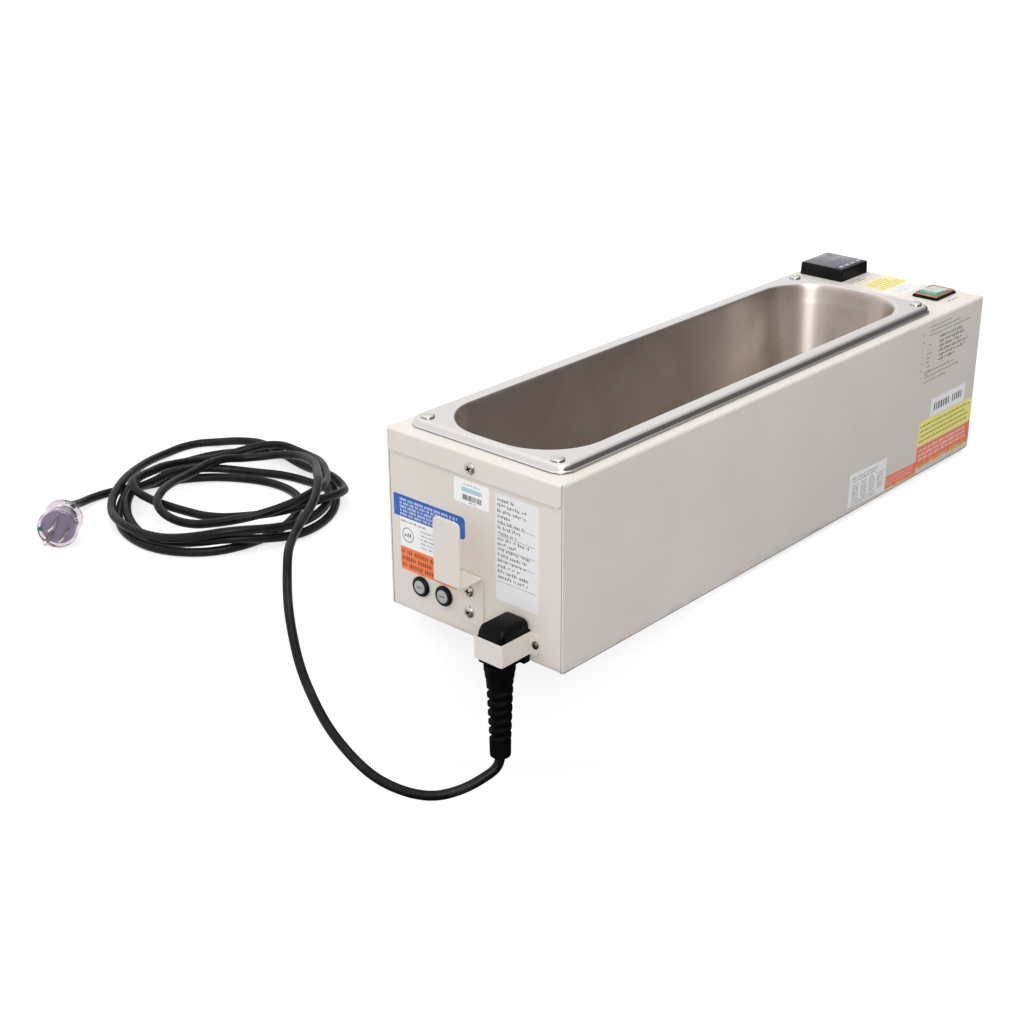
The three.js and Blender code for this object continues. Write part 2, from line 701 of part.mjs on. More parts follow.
function cordConnector() {
  const [width, height] = CONNECTOR_SIZE;
  const [inletU, inletV] = INLET_AT;
  const top = CONNECTOR_FROM + height;
  const half = width / 2;
  const reach = STRAP_REACH - SHEET - 0.5;
  const bodyShape = new THREE.Shape();
  bodyShape.moveTo(-half, CONNECTOR_FROM);
  bodyShape.lineTo(half, CONNECTOR_FROM);
  bodyShape.absarc(half - 6, top - 6, 6, 0, Math.PI / 2, false);
  bodyShape.absarc(-half + 6, top - 6, 6, Math.PI / 2, Math.PI, false);
  const settings = { depth: reach - 0.8, bevelEnabled: false, curveSegments: 3 };
  const body = new THREE.ExtrudeGeometry(bodyShape, settings);
  const chamfer = new THREE.Shape();
  chamfer.moveTo(0, 0);
  chamfer.lineTo(CONNECTOR_CHAMFER, 0);
  chamfer.lineTo(0, -CONNECTOR_CHAMFER);
  const edge = new THREE.ExtrudeGeometry(chamfer, { depth: width + 2, bevelEnabled: false });
  const inwards = new THREE.Matrix4().makeBasis(Z.clone().negate(), Y, X);
  edge.applyMatrix4(inwards).translate(-half - 1, top, reach);
  const ledge = block([-half - 0.8, 0.5, 0.8], [half + 0.8, STRAP_FROM - 0.4, 7]);
  const nose = plate(outline(12, 8.2, 2, 2), -17.6, 2);
  const slots = [[-7, -2], [7, -2], [0, 2.4]].map(([x, y]) =>
    block([x - 1.4, y - 2.4, -20], [x + 1.4, y + 2.4, -2.5]).translate(0, inletV, 0),
  );
  const whole = cut(join(body.translate(0, 0, 0.8), ledge, nose.translate(0, inletV, 0)), edge, ...slots);
  add(mainsEnd, "cord_connector", whole, BLACK).position.x = inletU;
}

// The strap: a U of sheet over the connector, with a tab each side that shares the inlet's screws.
function cordStrap() {
  const outer = STRAP_HALF_WIDTH;
  const inner = outer - SHEET;
  const tab = outer + 8.5;
  const bend = 2;
  const shape = new THREE.Shape();
  shape.moveTo(-tab, 0.2);
  shape.lineTo(-inner, 0.2);
  shape.lineTo(-inner, STRAP_REACH - SHEET);
  shape.lineTo(inner, STRAP_REACH - SHEET);
  shape.lineTo(inner, 0.2);
  shape.lineTo(tab, 0.2);
  shape.lineTo(tab, 0.2 + SHEET);
  shape.lineTo(outer, 0.2 + SHEET);
  shape.absarc(outer - bend, STRAP_REACH - bend, bend, 0, Math.PI / 2, false);
  shape.absarc(-outer + bend, STRAP_REACH - bend, bend, Math.PI / 2, Math.PI, false);
  shape.lineTo(-outer, 0.2 + SHEET);
  shape.lineTo(-tab, 0.2 + SHEET);
  const height = STRAP_TO - STRAP_FROM;
  const strip = solid(alongY(shape, height));
  const middle = (STRAP_FROM + STRAP_TO) / 2;
  const bounds = new THREE.Shape(outline(tab, height / 2, 4, 3));
  const rounded = new THREE.ExtrudeGeometry(bounds, { depth: STRAP_REACH + 2, bevelEnabled: false });
  const body = strip.intersect(solid(rounded));
  const whole = cut(
    body,
    rod(SCREW_HOLE, -1, 4, [-INLET_SCREW, INLET_AT[1] - middle], 12),
    rod(SCREW_HOLE, -1, 4, [INLET_SCREW, INLET_AT[1] - middle], 12),
  );
  add(mainsEnd, "cord_strap", whole, CREAM).position.set(INLET_AT[0], middle, 0);
  for (const [name, side] of [["strap_screw_left", -1], ["strap_screw_right", 1]]) {
    panHeadScrew(name, [INLET_AT[0] + side * INLET_SCREW, INLET_AT[1]], SHEET + 0.3, 8, STRAP_SCREW_HEAD);
  }
}

// The hook: a tab on the panel, a shelf standing out of it and a blade standing up from the shelf.
function cordHook() {
  const low = 12;
  const shelf = 55.3;
  const top = 108;
  const bend = 2;
  const side = new THREE.Shape();
  side.moveTo(0.2, low);
  side.lineTo(0.2 + SHEET, low);
  side.lineTo(0.2 + SHEET, shelf - SHEET);
  side.lineTo(HOOK_REACH - bend, shelf - SHEET);
  side.absarc(HOOK_REACH - bend, shelf - SHEET + bend, bend, -Math.PI / 2, 0, false);
  side.lineTo(HOOK_REACH, top);
  side.lineTo(HOOK_REACH - SHEET, top);
  side.lineTo(HOOK_REACH - SHEET, shelf);
  side.lineTo(0.2 + bend, shelf);
  side.absarc(0.2 + bend, shelf - bend, bend, Math.PI / 2, Math.PI, false);
  const width = HOOK_TO - HOOK_FROM;
  const strip = new THREE.ExtrudeGeometry(side, { depth: width, bevelEnabled: false, curveSegments: 2 });
  strip.applyMatrix4(new THREE.Matrix4().makeBasis(Z, Y, X.clone().negate())).translate(HOOK_TO, 0, 0);
  const middle = (HOOK_FROM + HOOK_TO) / 2;
  const bounds = plate(outline(width / 2, (top - low) / 2, 4, 3), -1, HOOK_REACH + 1);
  bounds.translate(middle, (top + low) / 2, 0);
  const holes = HOOK_SCREWS.map((height) => rod(SCREW_HOLE, -1, 4, [HOOK_SCREW_ACROSS, height], 12));
  add(mainsEnd, "cord_hook", cut(solid(strip).intersect(solid(bounds)), ...holes), CREAM);
  const [upper, lower] = HOOK_SCREWS;
  panHeadScrew("hook_screw_upper", [HOOK_SCREW_ACROSS, upper], SHEET + 0.3, 6, PANEL_SCREW_HEAD);
  panHeadScrew("hook_screw_lower", [HOOK_SCREW_ACROSS, lower], SHEET + 0.3, 6, PANEL_SCREW_HEAD);
}

// A panel fuse holder, its nut, the fuse and the slotted bayonet cap that draws the fuse out.
function fuse(side, at) {
  const group = new THREE.Group();
  group.position.set(...at, 0);
  mainsEnd.add(group);
  const fuseFrom = -2.3;
  const fuseTo = fuseFrom - FUSE_LENGTH;
  const boreEnd = fuseTo - 1.5;
  const barrelEnd = boreEnd - 2;
  const holder = solid(
    turned([
      [0, barrelEnd],
      [FUSE_BARREL, barrelEnd],
      [FUSE_BARREL, 0.2],
      [FUSE_FLANGE, 0.2],
      [FUSE_FLANGE, FUSE_RISE - 0.8],
      [FUSE_FLANGE - 0.8, FUSE_RISE],
      [FUSE_BORE, FUSE_RISE],
      [FUSE_BORE, boreEnd],
      [0, boreEnd],
    ], 18),
  );
  const rearTab = block([-0.4, -2, barrelEnd - 8], [0.4, 2, barrelEnd + 1]);
  const sideTab = block([-2, -FUSE_BARREL - 7, -14], [2, -FUSE_BARREL + 0.6, -13.2]);
  add(group, `fuse_holder_${side}`, holder.add(solid(rearTab)).add(solid(sideTab)), BLACK);

  const nut = plate(polygon(9, 6), -SHEET - GAP - 3.5, -SHEET - GAP, [polygon(FUSE_BARREL + GAP)]);
  add(group, `fuse_nut_${side}`, nut, ZINC);

  const cartridge = turned([
    [0, fuseTo],
    [FUSE_RADIUS, fuseTo],
    [FUSE_RADIUS, fuseTo + 6],
    [FUSE_RADIUS - 0.4, fuseTo + 6.2],
    [FUSE_RADIUS - 0.4, fuseFrom - 6.2],
    [FUSE_RADIUS, fuseFrom - 6],
    [FUSE_RADIUS, fuseFrom],
    [0, fuseFrom],
  ], 12);
  add(group, `fuse_${side}`, cartridge, GLASS);

  const grip = FUSE_BORE - 0.3;
  const top = FUSE_RISE + 0.4;
  const low = fuseFrom + GAP;
  const cap = solid(turned([[0, low], [grip, low], [grip, top - 0.5], [grip - 0.5, top], [0, top]]));
  add(group, `fuse_cap_${side}`, cut(cap, block([-3, -0.7, top - 1], [3, 0.7, top + 1])), GREY);
}

// ---- Wiring bay under the basin ----

function wiring() {
  const base = SHEET + GAP;
  const relay = join(
    block([-29, -22.5, base], [29, 22.5, base + 4]),
    block([-21, -22.5, base + 3], [21, 22.5, base + 22]),
    block([-27, -9, base + 3], [-20, 9, base + 12]),
    block([20, -9, base + 3], [27, 9, base + 12]),
  );
  add(part, "heater_relay", relay, BLACK).position.set(190, -30, 0);

  const blocks = [block([-30, -11, base], [30, 11, base + 7])];
  for (let i = 0; i < 6; i++) {
    blocks.push(block([i * 10 - 29.5, -7, base + 6], [i * 10 - 21.5, 7, base + 16]));
  }
  add(part, "terminal_block", join(...blocks), paint(0xe2ddcf, 0.5)).position.set(120, 50, 0);

  const washer = [[0, 0], [6, 0], [6, 1], [3.6, 1.2], [3.6, 4.4], [2, 4.6], [2, 11], [0, 11]];
  const stud = turned(washer, 12).translate(0, 0, base);
  add(part, "earth_stud", stud, BRASS).position.set(-232, -60, 0);

  const rearOfInlet = -LENGTH / 2 + 37;
  const rearOfFuse = -LENGTH / 2 + 46.5;
  const [inletU, inletV] = INLET_AT;
  const wires = {
    wire_live: [
      [[rearOfInlet, -inletU - 7, inletV - 2], [-250, -44, 10], [-230, 0, 10], [-240, 50, 22],
        [rearOfFuse, -FUSE_LEFT_AT[0], FUSE_LEFT_AT[1]]],
      paint(0x4a2c1a, 0.6),
    ],
    wire_neutral: [
      [[rearOfInlet, -inletU + 7, inletV - 2], [-252, -28, 20], [-240, 8, 26],
        [rearOfFuse, -FUSE_RIGHT_AT[0], FUSE_RIGHT_AT[1]]],
      paint(0x2b4f9a, 0.6),
    ],
    wire_earth: [
      [[rearOfInlet, -inletU, inletV + 2.4], [-250, -52, 26], [-236, -60, 22], [-232, -60, base + 11.6]],
      paint(0x3f8f3a, 0.6),
    ],
    wire_heater: [
      [[120, 38.4, 16], [150, 24, 26], [205, 8, 23], [240, 4, 26], [247, 1, 40], [241, 0, 51],
        [205, 0, 54], [174, 0, 57.9]],
      paint(0xd8d2c4, 0.6),
    ],
  };
  for (const [name, [points, material]] of Object.entries(wires)) {
    const path = points.map((point) => new THREE.Vector3(...point));
    add(part, name, tube(path, 1.3, 6, 9), material);
  }
}

// ---- Cord: boot, coil and plug. The bath stands at a counter's edge, and the cord hangs over it. ----

const RIBS = 6;
const RIB_PITCH = 7.9;
const FIRST_RIB = -21.2;

function cordBoot() {
  const bore = CORD_RADIUS + 0.8;
  const top = CONNECTOR_FROM - 0.4;
  const mouth = bore + 0.9;
  const profile = [
    [mouth, -BOOT_LENGTH],
    [7.4, -BOOT_LENGTH],
    [8.4, -BOOT_LENGTH + 2],
    [8.4, -65.4],
  ];
  for (let i = RIBS - 1; i >= 0; i--) {
    const low = FIRST_RIB - i * RIB_PITCH;
    const share = i / (RIBS - 1);
    const groove = 8.2 - 1.2 * share;
    const rib = 10.4 - 1.8 * share;
    profile.push([groove, low - 0.6], [rib, low + 0.4], [rib, low + 4.6], [groove, low + 5.6]);
  }
  profile.push([10.4, -14.4], [11.2, -9], [12.3, -3], [12.3, top]);
  profile.push([bore, top], [bore, -60], [mouth, -BOOT_LENGTH]);
  const place = mainsEnd.localToWorld(new THREE.Vector3(INLET_AT[0], 0, BOOT_OUT));
  add(part, "cord_boot", turned(profile, 12), RUBBER).position.copy(place);
}

// The coil is a chain of half loops that meet near one line through its centre: where each crosses that line
// (along it, aside of it), how far it bulges to either side on the way, and how far the bulge leans to its start.
const CROSSINGS = [
  [-107, -10],
  [68, -10],
  [-95, -10],
  [100, -10],
  [-88, -10],
  [95, -10],
  [-102, -8],
  [108, 2],
  [-86, 0],
  [92, -8],
  [-56, -38],
  [84, -10],
];
const BULGES = [68, 99, 132, 92, 80, 98, 136, 50, 106, 52, 108];
const LEANS = [0, 0, 0, 0, 0, 0, 0.55, 0.3, -0.25, 0, 0];
const SAMPLE = 4;
const FIRST_TURN_SKIPPED = 0.25;

function coilPlan() {
  const plan = [];
  const cos = Math.cos(COIL_TURNED);
  const sin = Math.sin(COIL_TURNED);
  let skipped = 0;
  BULGES.forEach((bulge, i) => {
    const [from, fromAside] = CROSSINGS[i];
    const [to, toAside] = CROSSINGS[i + 1];
    const half = Math.abs(to - from) / 2;
    const steps = Math.round((Math.PI * (half + bulge)) / 2 / SAMPLE);
    const towards = i % 2 === 0 ? 1 : -1;
    if (i === 0) skipped = Math.round(FIRST_TURN_SKIPPED * steps);
    for (let k = 0; k < steps; k++) {
      const turn = Math.cos((k / steps) * Math.PI);
      const bulged = bulge * Math.sin((k / steps) * Math.PI) * (1 + LEANS[i] * turn);
      const along = (from + to) / 2 + ((from - to) / 2) * turn;
      const aside = fromAside + ((toAside - fromAside) * k) / steps + towards * bulged;
      plan.push([COIL_CENTRE[0] + along * cos - aside * sin, COIL_CENTRE[1] + along * sin + aside * cos]);
    }
  });
  return plan.slice(skipped);
}

// Points every few millimetres along a smooth curve through the given ones.
function sampled(points) {
  const curve = new THREE.CatmullRomCurve3(points, false, "centripetal");
  const count = Math.round(curve.getLength() / SAMPLE);
  return curve.getSpacedPoints(count);
}

function powerCord() {
  const axis = new THREE.Vector3(Math.cos(PLUG_HEADING), Math.sin(PLUG_HEADING), 0);
  const plugCentre = FLOOR + PLUG_RADIUS;
  const behindFace = (distance, z) => new THREE.Vector3(
    PLUG_FACE[0] - axis.x * distance,
    PLUG_FACE[1] - axis.y * distance,
    z,
  );
  const floorCord = FLOOR + CORD_RADIUS;
  const plan = coilPlan().map(([x, y]) => new THREE.Vector3(x, y, floorCord));
  const start = sampled([
    behindFace(30, plugCentre),
    behindFace(42, plugCentre),
    behindFace(54, plugCentre - 0.5),
    behindFace(72, plugCentre - 8),
    new THREE.Vector3(-338, 449, floorCord),
    new THREE.Vector3(-314, 446, floorCord),
    plan[0],
  ]);
  const hanging = mainsEnd.localToWorld(new THREE.Vector3(INLET_AT[0], 0, BOOT_OUT));
  const leave = sampled([
    plan[plan.length - 1],
    new THREE.Vector3(-229, 262, 0),
    new THREE.Vector3(-258, 237, 0),
    new THREE.Vector3(-289, 221, 0),
    new THREE.Vector3(-317, 202, 0),
    new THREE.Vector3(-336, 183, 0),
  ]);
  const laid = [...start, ...plan.slice(1), ...leave.slice(1)];
  settle(laid, start.length);
  const hang = sampled([
    laid[laid.length - 1],
    new THREE.Vector3(-352, 165, -15),
    new THREE.Vector3(-373, 127, -51),
    new THREE.Vector3(-387, 76, -82),
    new THREE.Vector3(-388, 22, -101),
    new THREE.Vector3(-372, -18, -105),
    new THREE.Vector3(-346, -38, -97),
    new THREE.Vector3(hanging.x - 3, hanging.y + 1, -88),
    new THREE.Vector3(hanging.x, hanging.y, -77),
    new THREE.Vector3(hanging.x, hanging.y, -64),
    new THREE.Vector3(hanging.x, hanging.y, -30),
    new THREE.Vector3(hanging.x, hanging.y, CONNECTOR_FROM - 0.8),
  ]);
  return softened([...laid, ...hang.slice(1)], start.length);
}

// Each point of the cord rests on the floor or on whatever cord was laid there before it. The cord is stiff,
// so it rises and falls no faster than a set slope.
function settle(path, fixed) {
  const slope = 0.16;
  const heights = path.map((point) => point.z);
  const spread = 2 * CORD_RADIUS + 1.4;
  const ownReach = 14;
  for (let i = fixed; i < path.length; i++) {
    let height = FLOOR + CORD_RADIUS;
    for (let j = 0; j < i - ownReach; j++) {
      const apart = Math.hypot(path[i].x - path[j].x, path[i].y - path[j].y);
      if (apart < spread) height = Math.max(height, heights[j] + Math.sqrt(spread ** 2 - apart ** 2));
    }
    heights[i] = height;
    for (let j = i - 1; j >= fixed && heights[j] < heights[j + 1] - slope * SAMPLE; j--) {
      heights[j] = heights[j + 1] - slope * SAMPLE;
    }
    heights[i] = Math.max(heights[i], heights[i - 1] - slope * SAMPLE);
  }
  path.forEach((point, i) => {
    if (i >= fixed) point.z = heights[i];
  });
}

// Averages each point with its neighbours a few times, apart from the straight runs in the plug and the boot.
function softened(path, fixed) {
  const passes = 8;
  const straight = Math.round(BOOT_LENGTH / SAMPLE) + 5;
  for (let pass = 0; pass < passes; pass++) {
    const before = path.map((point) => point.clone());
    for (let k = Math.round(fixed / 2); k < path.length - straight; k++) {
      path[k].copy(before[k - 1]).add(before[k]).add(before[k + 1]).divideScalar(3);
    }
  }
  return path;
}

// The contact carrier, turned about the plug's axis: a waisted core behind a front disc.
const PLUG_CORE = [
  [0, -26],
  [9, -26],
  [10.9, -21],
  [10.9, -14.2],
  [10.4, -13],
  [10.4, -6.6],
  [15, -6.6],
  [15, -5],
  [0, -5],
];

function plug() {
  const group = new THREE.Group();
  const out = new THREE.Vector3(Math.cos(PLUG_HEADING), Math.sin(PLUG_HEADING), 0);
  const across = Z.clone().cross(out);
  group.quaternion.setFromRotationMatrix(new THREE.Matrix4().makeBasis(across, Z, out));
  group.position.set(...PLUG_FACE, FLOOR + PLUG_RADIUS + 0.1);
  part.add(group);
  const bore = CORD_RADIUS + 1;
  const shell = solid(
    turned([
      [0, -3.5],
      [15.4, -3.5],
      [15.4, -9],
      [11.5, -13],
      [11.5, -27],
      [bore, -37],
      [bore, -42],
      [8, -42],
      [10, -36],
      [14, -29],
      [17, -27],
      [17.4, -25.5],
      [17, -24],
      [14, -22],
      [13, -17],
      [14.5, -12],
      [PLUG_RADIUS, -9],
      [PLUG_RADIUS, -1.5],
      [PLUG_RADIUS - 1, 0],
      [0, 0],
    ], 18),
  );
  const face = new THREE.Group();
  face.rotation.z = PLUG_ROLL;
  face.updateMatrix();
  group.add(face);
  const bladeX = 6.35;
  const bladeY = 3.95;
  const pinY = -7.9;
  const blade = (x, slack) => block(
    [x - 0.75 - slack, bladeY - 3.2 - slack, -4.6 - 2 * slack],
    [x + 0.75 + slack, bladeY + 3.2 + slack, 17.5],
  );
  const pin = (slack) => rod(2.4 + slack, -4.6 - 2 * slack, 20.5, [0, pinY], 12);
  const slots = [blade(-bladeX, GAP), blade(bladeX, GAP), pin(GAP)];
  add(group, "plug_body", cut(shell, ...slots.map((slot) => slot.applyMatrix4(face.matrix))), CLEAR_VIOLET);
  add(group, "plug_core", turned(PLUG_CORE, 16), RUBBER);
  add(face, "plug_blade_live", blade(-bladeX, 0), BRASS);
  add(face, "plug_blade_neutral", blade(bladeX, 0), BRASS);
  add(face, "plug_earth_pin", pin(0), BRASS);
}

// ---- Assembly ----

add(part, "housing_cover", housingCover(), CREAM);
add(part, "chassis_base", chassisBase(), CREAM);
feet();
add(part, "basin", basin(), STAINLESS);
add(part, "basin_gasket", basinGasket(), RUBBER);
basinScrews();
heating();
controller();
rockerSwitch();
coverScrews();
powerInlet();
cordConnector();
cordStrap();
cordHook();
fuse("left", FUSE_LEFT_AT);
fuse("right", FUSE_RIGHT_AT);
wiring();
mainsEnd.updateMatrixWorld(true);
cordBoot();
add(part, "power_cord", tube(powerCord(), CORD_RADIUS, 7, 18), RUBBER);
plug();

export default part;
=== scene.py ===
import json
import math
import random

import bmesh
import bpy
import numpy as np
from mathutils import Matrix, Vector


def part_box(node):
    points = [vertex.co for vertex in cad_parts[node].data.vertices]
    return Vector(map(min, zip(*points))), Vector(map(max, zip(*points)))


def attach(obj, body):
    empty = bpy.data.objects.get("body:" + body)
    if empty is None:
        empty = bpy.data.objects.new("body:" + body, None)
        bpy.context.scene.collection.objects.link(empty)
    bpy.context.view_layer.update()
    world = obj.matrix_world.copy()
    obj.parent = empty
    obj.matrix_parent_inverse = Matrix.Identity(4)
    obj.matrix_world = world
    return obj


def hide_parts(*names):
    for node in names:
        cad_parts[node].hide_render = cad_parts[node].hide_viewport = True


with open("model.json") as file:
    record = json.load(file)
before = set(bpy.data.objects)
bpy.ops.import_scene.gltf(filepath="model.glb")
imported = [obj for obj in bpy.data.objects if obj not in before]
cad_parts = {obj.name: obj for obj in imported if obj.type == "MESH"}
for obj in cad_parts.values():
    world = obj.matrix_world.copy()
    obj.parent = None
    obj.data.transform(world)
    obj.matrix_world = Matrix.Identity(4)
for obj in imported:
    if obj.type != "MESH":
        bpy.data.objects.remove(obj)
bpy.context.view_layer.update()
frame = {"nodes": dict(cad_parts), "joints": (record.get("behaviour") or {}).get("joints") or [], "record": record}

MM = 0.001
ROOT = "housing"
SLOTS = {part["node"]: part["material_slot"] for part in frame["record"]["subparts"]}
JOINTS = {joint["name"]: joint for joint in frame["joints"]}


def box_mm(node):
    low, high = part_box(node)
    return low / MM, high / MM


def middle_mm(node):
    return sum(box_mm(node), Vector()) / 2


def half_mm(node):
    low, high = box_mm(node)
    return (high - low) / 2


def shift(x, y, z=0):
    return Matrix.Translation((x, y, z))


def turned(degrees, axis="Z"):
    return Matrix.Rotation(math.radians(degrees), 4, axis)


def held(value, low, high):
    """How far a value is from low to high, from 0 to 1."""
    return min(max((value - low) / (high - low), 0), 1)


def face(origin, across, up):
    """The frame of a flat face: x across it, y up it and z out of it."""
    across, up = Vector(across), Vector(up)
    turn = Matrix((across, up, across.cross(up))).transposed().to_4x4()
    return Matrix.Translation(origin) @ turn


COVER_LOW, COVER_HIGH = box_mm("housing_cover")
PANEL_X = box_mm("chassis_base")[1].x
DECK_Z = COVER_HIGH.z
MAINS_END = face((-PANEL_X, 0, 0), (0, -1, 0), (0, 0, 1))
FRONT = face((0, COVER_LOW.y, 0), (1, 0, 0), (0, 0, 1))
DECK = face((0, 0, DECK_Z), (1, 0, 0), (0, 1, 0))


# ---- Shapes: each is (vertices, faces), in millimetres ----


def moved(shape, matrix):
    vertices, faces = shape
    return [matrix @ Vector(vertex) for vertex in vertices], faces


def merged(*shapes):
    vertices, faces = [], []
    for more_vertices, more_faces in shapes:
        start = len(vertices)
        vertices += list(more_vertices)
        faces += [[start + index for index in corners] for corners in more_faces]
    return vertices, faces


def filleted(points, radius, steps=3, closed=False):
    """The same line with its corners rounded off, up to a radius."""
    points = [Vector(point) for point in points]
    last = len(points) - 1
    result = []
    for i, point in enumerate(points):
        if not closed and i in (0, last):
            result.append(point)
            continue
        before = points[i - 1] - point
        after = points[(i + 1) % len(points)] - point
        start = point + before.normalized() * min(radius, before.length * 0.45)
        end = point + after.normalized() * min(radius, after.length * 0.45)
        for k in range(steps + 1):
            share = k / steps
            result.append(start.lerp(point, share).lerp(point.lerp(end, share), share))
    return result


def lathe(profile, sides=64):
    """A body turned about z, from (radius, height) pairs. A radius of 0 closes it on the axis."""
    closed = tuple(profile[0]) == tuple(profile[-1])
    vertices, rings = [], []
    for radius, height in profile[:-1] if closed else profile:
        points = circle(radius, 1 if radius == 0 else sides)
        rings.append([len(vertices) + i for i in range(len(points))])
        vertices += ring(points, height)
    if closed:
        rings.append(rings[0])
    faces = []
    for lower, upper in zip(rings, rings[1:]):
        for i in range(sides):
            j = (i + 1) % sides
            below = [lower[k % len(lower)] for k in (i, j)]
            above = [upper[k % len(upper)] for k in (j, i)]
            faces.append(list(dict.fromkeys(below + above)))
    return vertices, [corners for corners in faces if len(corners) > 2]


def loft(rings, ends="capped"):
    """A skin through rings of equal length. Its ends are capped, or joined to each other."""
    count = len(rings[0])
    vertices = [Vector(point) for ring in rings for point in ring]
    faces = []
    spans = len(rings) if ends == "joined" else len(rings) - 1
    for k in range(spans):
        here, there = k * count, (k + 1) % len(rings) * count
        for i in range(count):
            j = (i + 1) % count
            faces.append([here + i, here + j, there + j, there + i])
    if ends == "capped":
        faces.append(list(range(count)))
        faces.append([(len(rings) - 1) * count + i for i in range(count)])
    return vertices, faces


def rounded(corners, steps):
    """An outline round four corners, each (centre x, centre y, radius), counterclockwise."""
    points = []
    for quarter, (x, y, radius) in enumerate(corners):
        for i in range(steps + 1):
            angle = (quarter + i / steps) * math.pi / 2
            points.append(Vector((x + radius * math.cos(angle), y + radius * math.sin(angle))))
    return points


def outline(half_x, half_y, corner, steps=8):
    """A rounded rectangle about the origin, with the same count of points whatever its size."""
    x, y = half_x - corner, half_y - corner
    return rounded([(x, y, corner), (-x, y, corner), (-x, -y, corner), (x, -y, corner)], steps)


def circle(radius, sides):
    angles = [2 * math.pi * i / sides for i in range(sides)]
    return [Vector((radius * math.cos(angle), radius * math.sin(angle))) for angle in angles]


def ring(points, height, at=(0, 0)):
    return [Vector((point.x + at[0], point.y + at[1], height)) for point in points]


def prism(points, low, high):
    return loft([ring(points, low), ring(points, high)])


def slab(low, high, bottom, top):
    """A plain box over a rectangle from its low corner to its high corner."""
    points = [Vector(low), Vector((high[0], low[1])), Vector(high), Vector((low[0], high[1]))]
    return prism(points, bottom, top)


def smooth_line(points, steps):
    """A Catmull-Rom curve through evenly spaced points."""
    points = np.array(points, float)
    ends = [2 * points[0] - points[1]], [2 * points[-1] - points[-2]]
    padded = np.vstack([ends[0], points, ends[1]])
    result = []
    for i in range(len(points) - 1):
        a, b, c, d = padded[i : i + 4]
        for k in range(steps):
            t = k / steps
            cubic = 2 * b + (c - a) * t
            cubic += (2 * a - 5 * b + 4 * c - d) * t**2
            cubic += (3 * b - a - 3 * c + d) * t**3
            result.append(cubic / 2)
    result.append(points[-1])
    return np.array(result)


def sweep(points, radius_at, sides):
    """A tube along a line. Its radius comes from the length run so far and the angle round it."""
    points = np.array(points, float)
    along = np.gradient(points, axis=0)
    along /= np.linalg.norm(along, axis=1)[:, None]
    run = np.concatenate([[0], np.cumsum(np.linalg.norm(np.diff(points, axis=0), axis=1))])
    normal = np.cross(along[0], (0, 0, 1))
    if np.linalg.norm(normal) < 0.1:
        normal = np.cross(along[0], (1, 0, 0))
    rings = []
    for point, direction, length in zip(points, along, run):
        normal = normal - direction * (normal @ direction)
        normal /= np.linalg.norm(normal)
        side = np.cross(direction, normal)
        section = []
        for i in range(sides):
            angle = 2 * math.pi * i / sides
            radius = radius_at(length, angle)
            section.append(Vector(point + radius * (math.cos(angle) * normal + math.sin(angle) * side)))
        rings.append(section)
    return loft(rings)


# ---- Pieces ----


def mesh_from(name, shape, at=Matrix()):
    vertices, faces = shape
    mesh = bpy.data.meshes.new(name)
    mesh.from_pydata([(at @ Vector(vertex)) * MM for vertex in vertices], [], faces)
    tidy = bmesh.new()
    tidy.from_mesh(mesh)
    bmesh.ops.recalc_face_normals(tidy, faces=tidy.faces)
    tidy.to_mesh(mesh)
    tidy.free()
    return mesh


def cut_out(piece, shape, at):
    """Cuts a closed shape out of a piece's mesh."""
    cutter = bpy.data.objects.new("cutter", mesh_from("cutter", shape, at))
    bpy.context.scene.collection.objects.link(cutter)
    boolean = piece.modifiers.new("cut", "BOOLEAN")
    boolean.object = cutter
    boolean.solver = "EXACT"
    graph = bpy.context.evaluated_depsgraph_get()
    result = bpy.data.meshes.new_from_object(piece.evaluated_get(graph))
    piece.modifiers.clear()
    piece.data = result
    bpy.data.objects.remove(cutter)


def soften(piece, width, segments=2):
    """Rounds a piece's sharp edges with modifiers."""
    bevel = piece.modifiers.new("edges", "BEVEL")
    bevel.width = width * MM
    bevel.segments = segments
    bevel.limit_method = "ANGLE"
    bevel.angle_limit = math.radians(32)
    bevel.harden_normals = True
    bevel.miter_outer = "MITER_ARC"
    weighted = piece.modifiers.new("shading", "WEIGHTED_NORMAL")
    weighted.keep_sharp = True


def make(name, shape, material, at=Matrix(), body=ROOT, replaces=(), cuts=(), sharp=35, edge=0):
    """One new piece, standing for the CAD nodes it replaces, with shapes cut out and its edges rounded."""
    piece = bpy.data.objects.new(name, mesh_from(name, shape, at))
    bpy.context.scene.collection.objects.link(piece)
    for cutter in cuts:
        cut_out(piece, cutter, at)
    piece.data.materials.clear()
    piece.data.materials.append(material)
    piece.data.shade_smooth()
    piece.data.set_sharp_from_angle(angle=math.radians(sharp))
    if edge:
        soften(piece, edge)
    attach(piece, body)
    if replaces:
        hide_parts(*replaces)


def refine(node, material, edge=0.2):
    """A CAD node that keeps its shape: it gets its material, joined faces and softened edges."""
    piece = frame["nodes"][node]
    mesh = piece.data
    mesh.materials.clear()
    mesh.materials.append(material)
    if "custom_normal" in mesh.attributes:
        mesh.attributes.remove(mesh.attributes["custom_normal"])
    mesh.shade_smooth()
    weld = piece.modifiers.new("weld", "WELD")
    weld.merge_threshold = 0.01 * MM
    flat = piece.modifiers.new("flat", "DECIMATE")
    flat.decimate_type = "DISSOLVE"
    flat.angle_limit = math.radians(1)
    soften(piece, edge)


# ---- Materials ----


def colour(red, green, blue):
    """A display colour, 0 to 255, as the linear colour that shaders take."""
    shares = [value / 255 for value in (red, green, blue)]
    return tuple(s / 12.92 if s <= 0.04045 else ((s + 0.055) / 1.055) ** 2.4 for s in shares) + (1,)


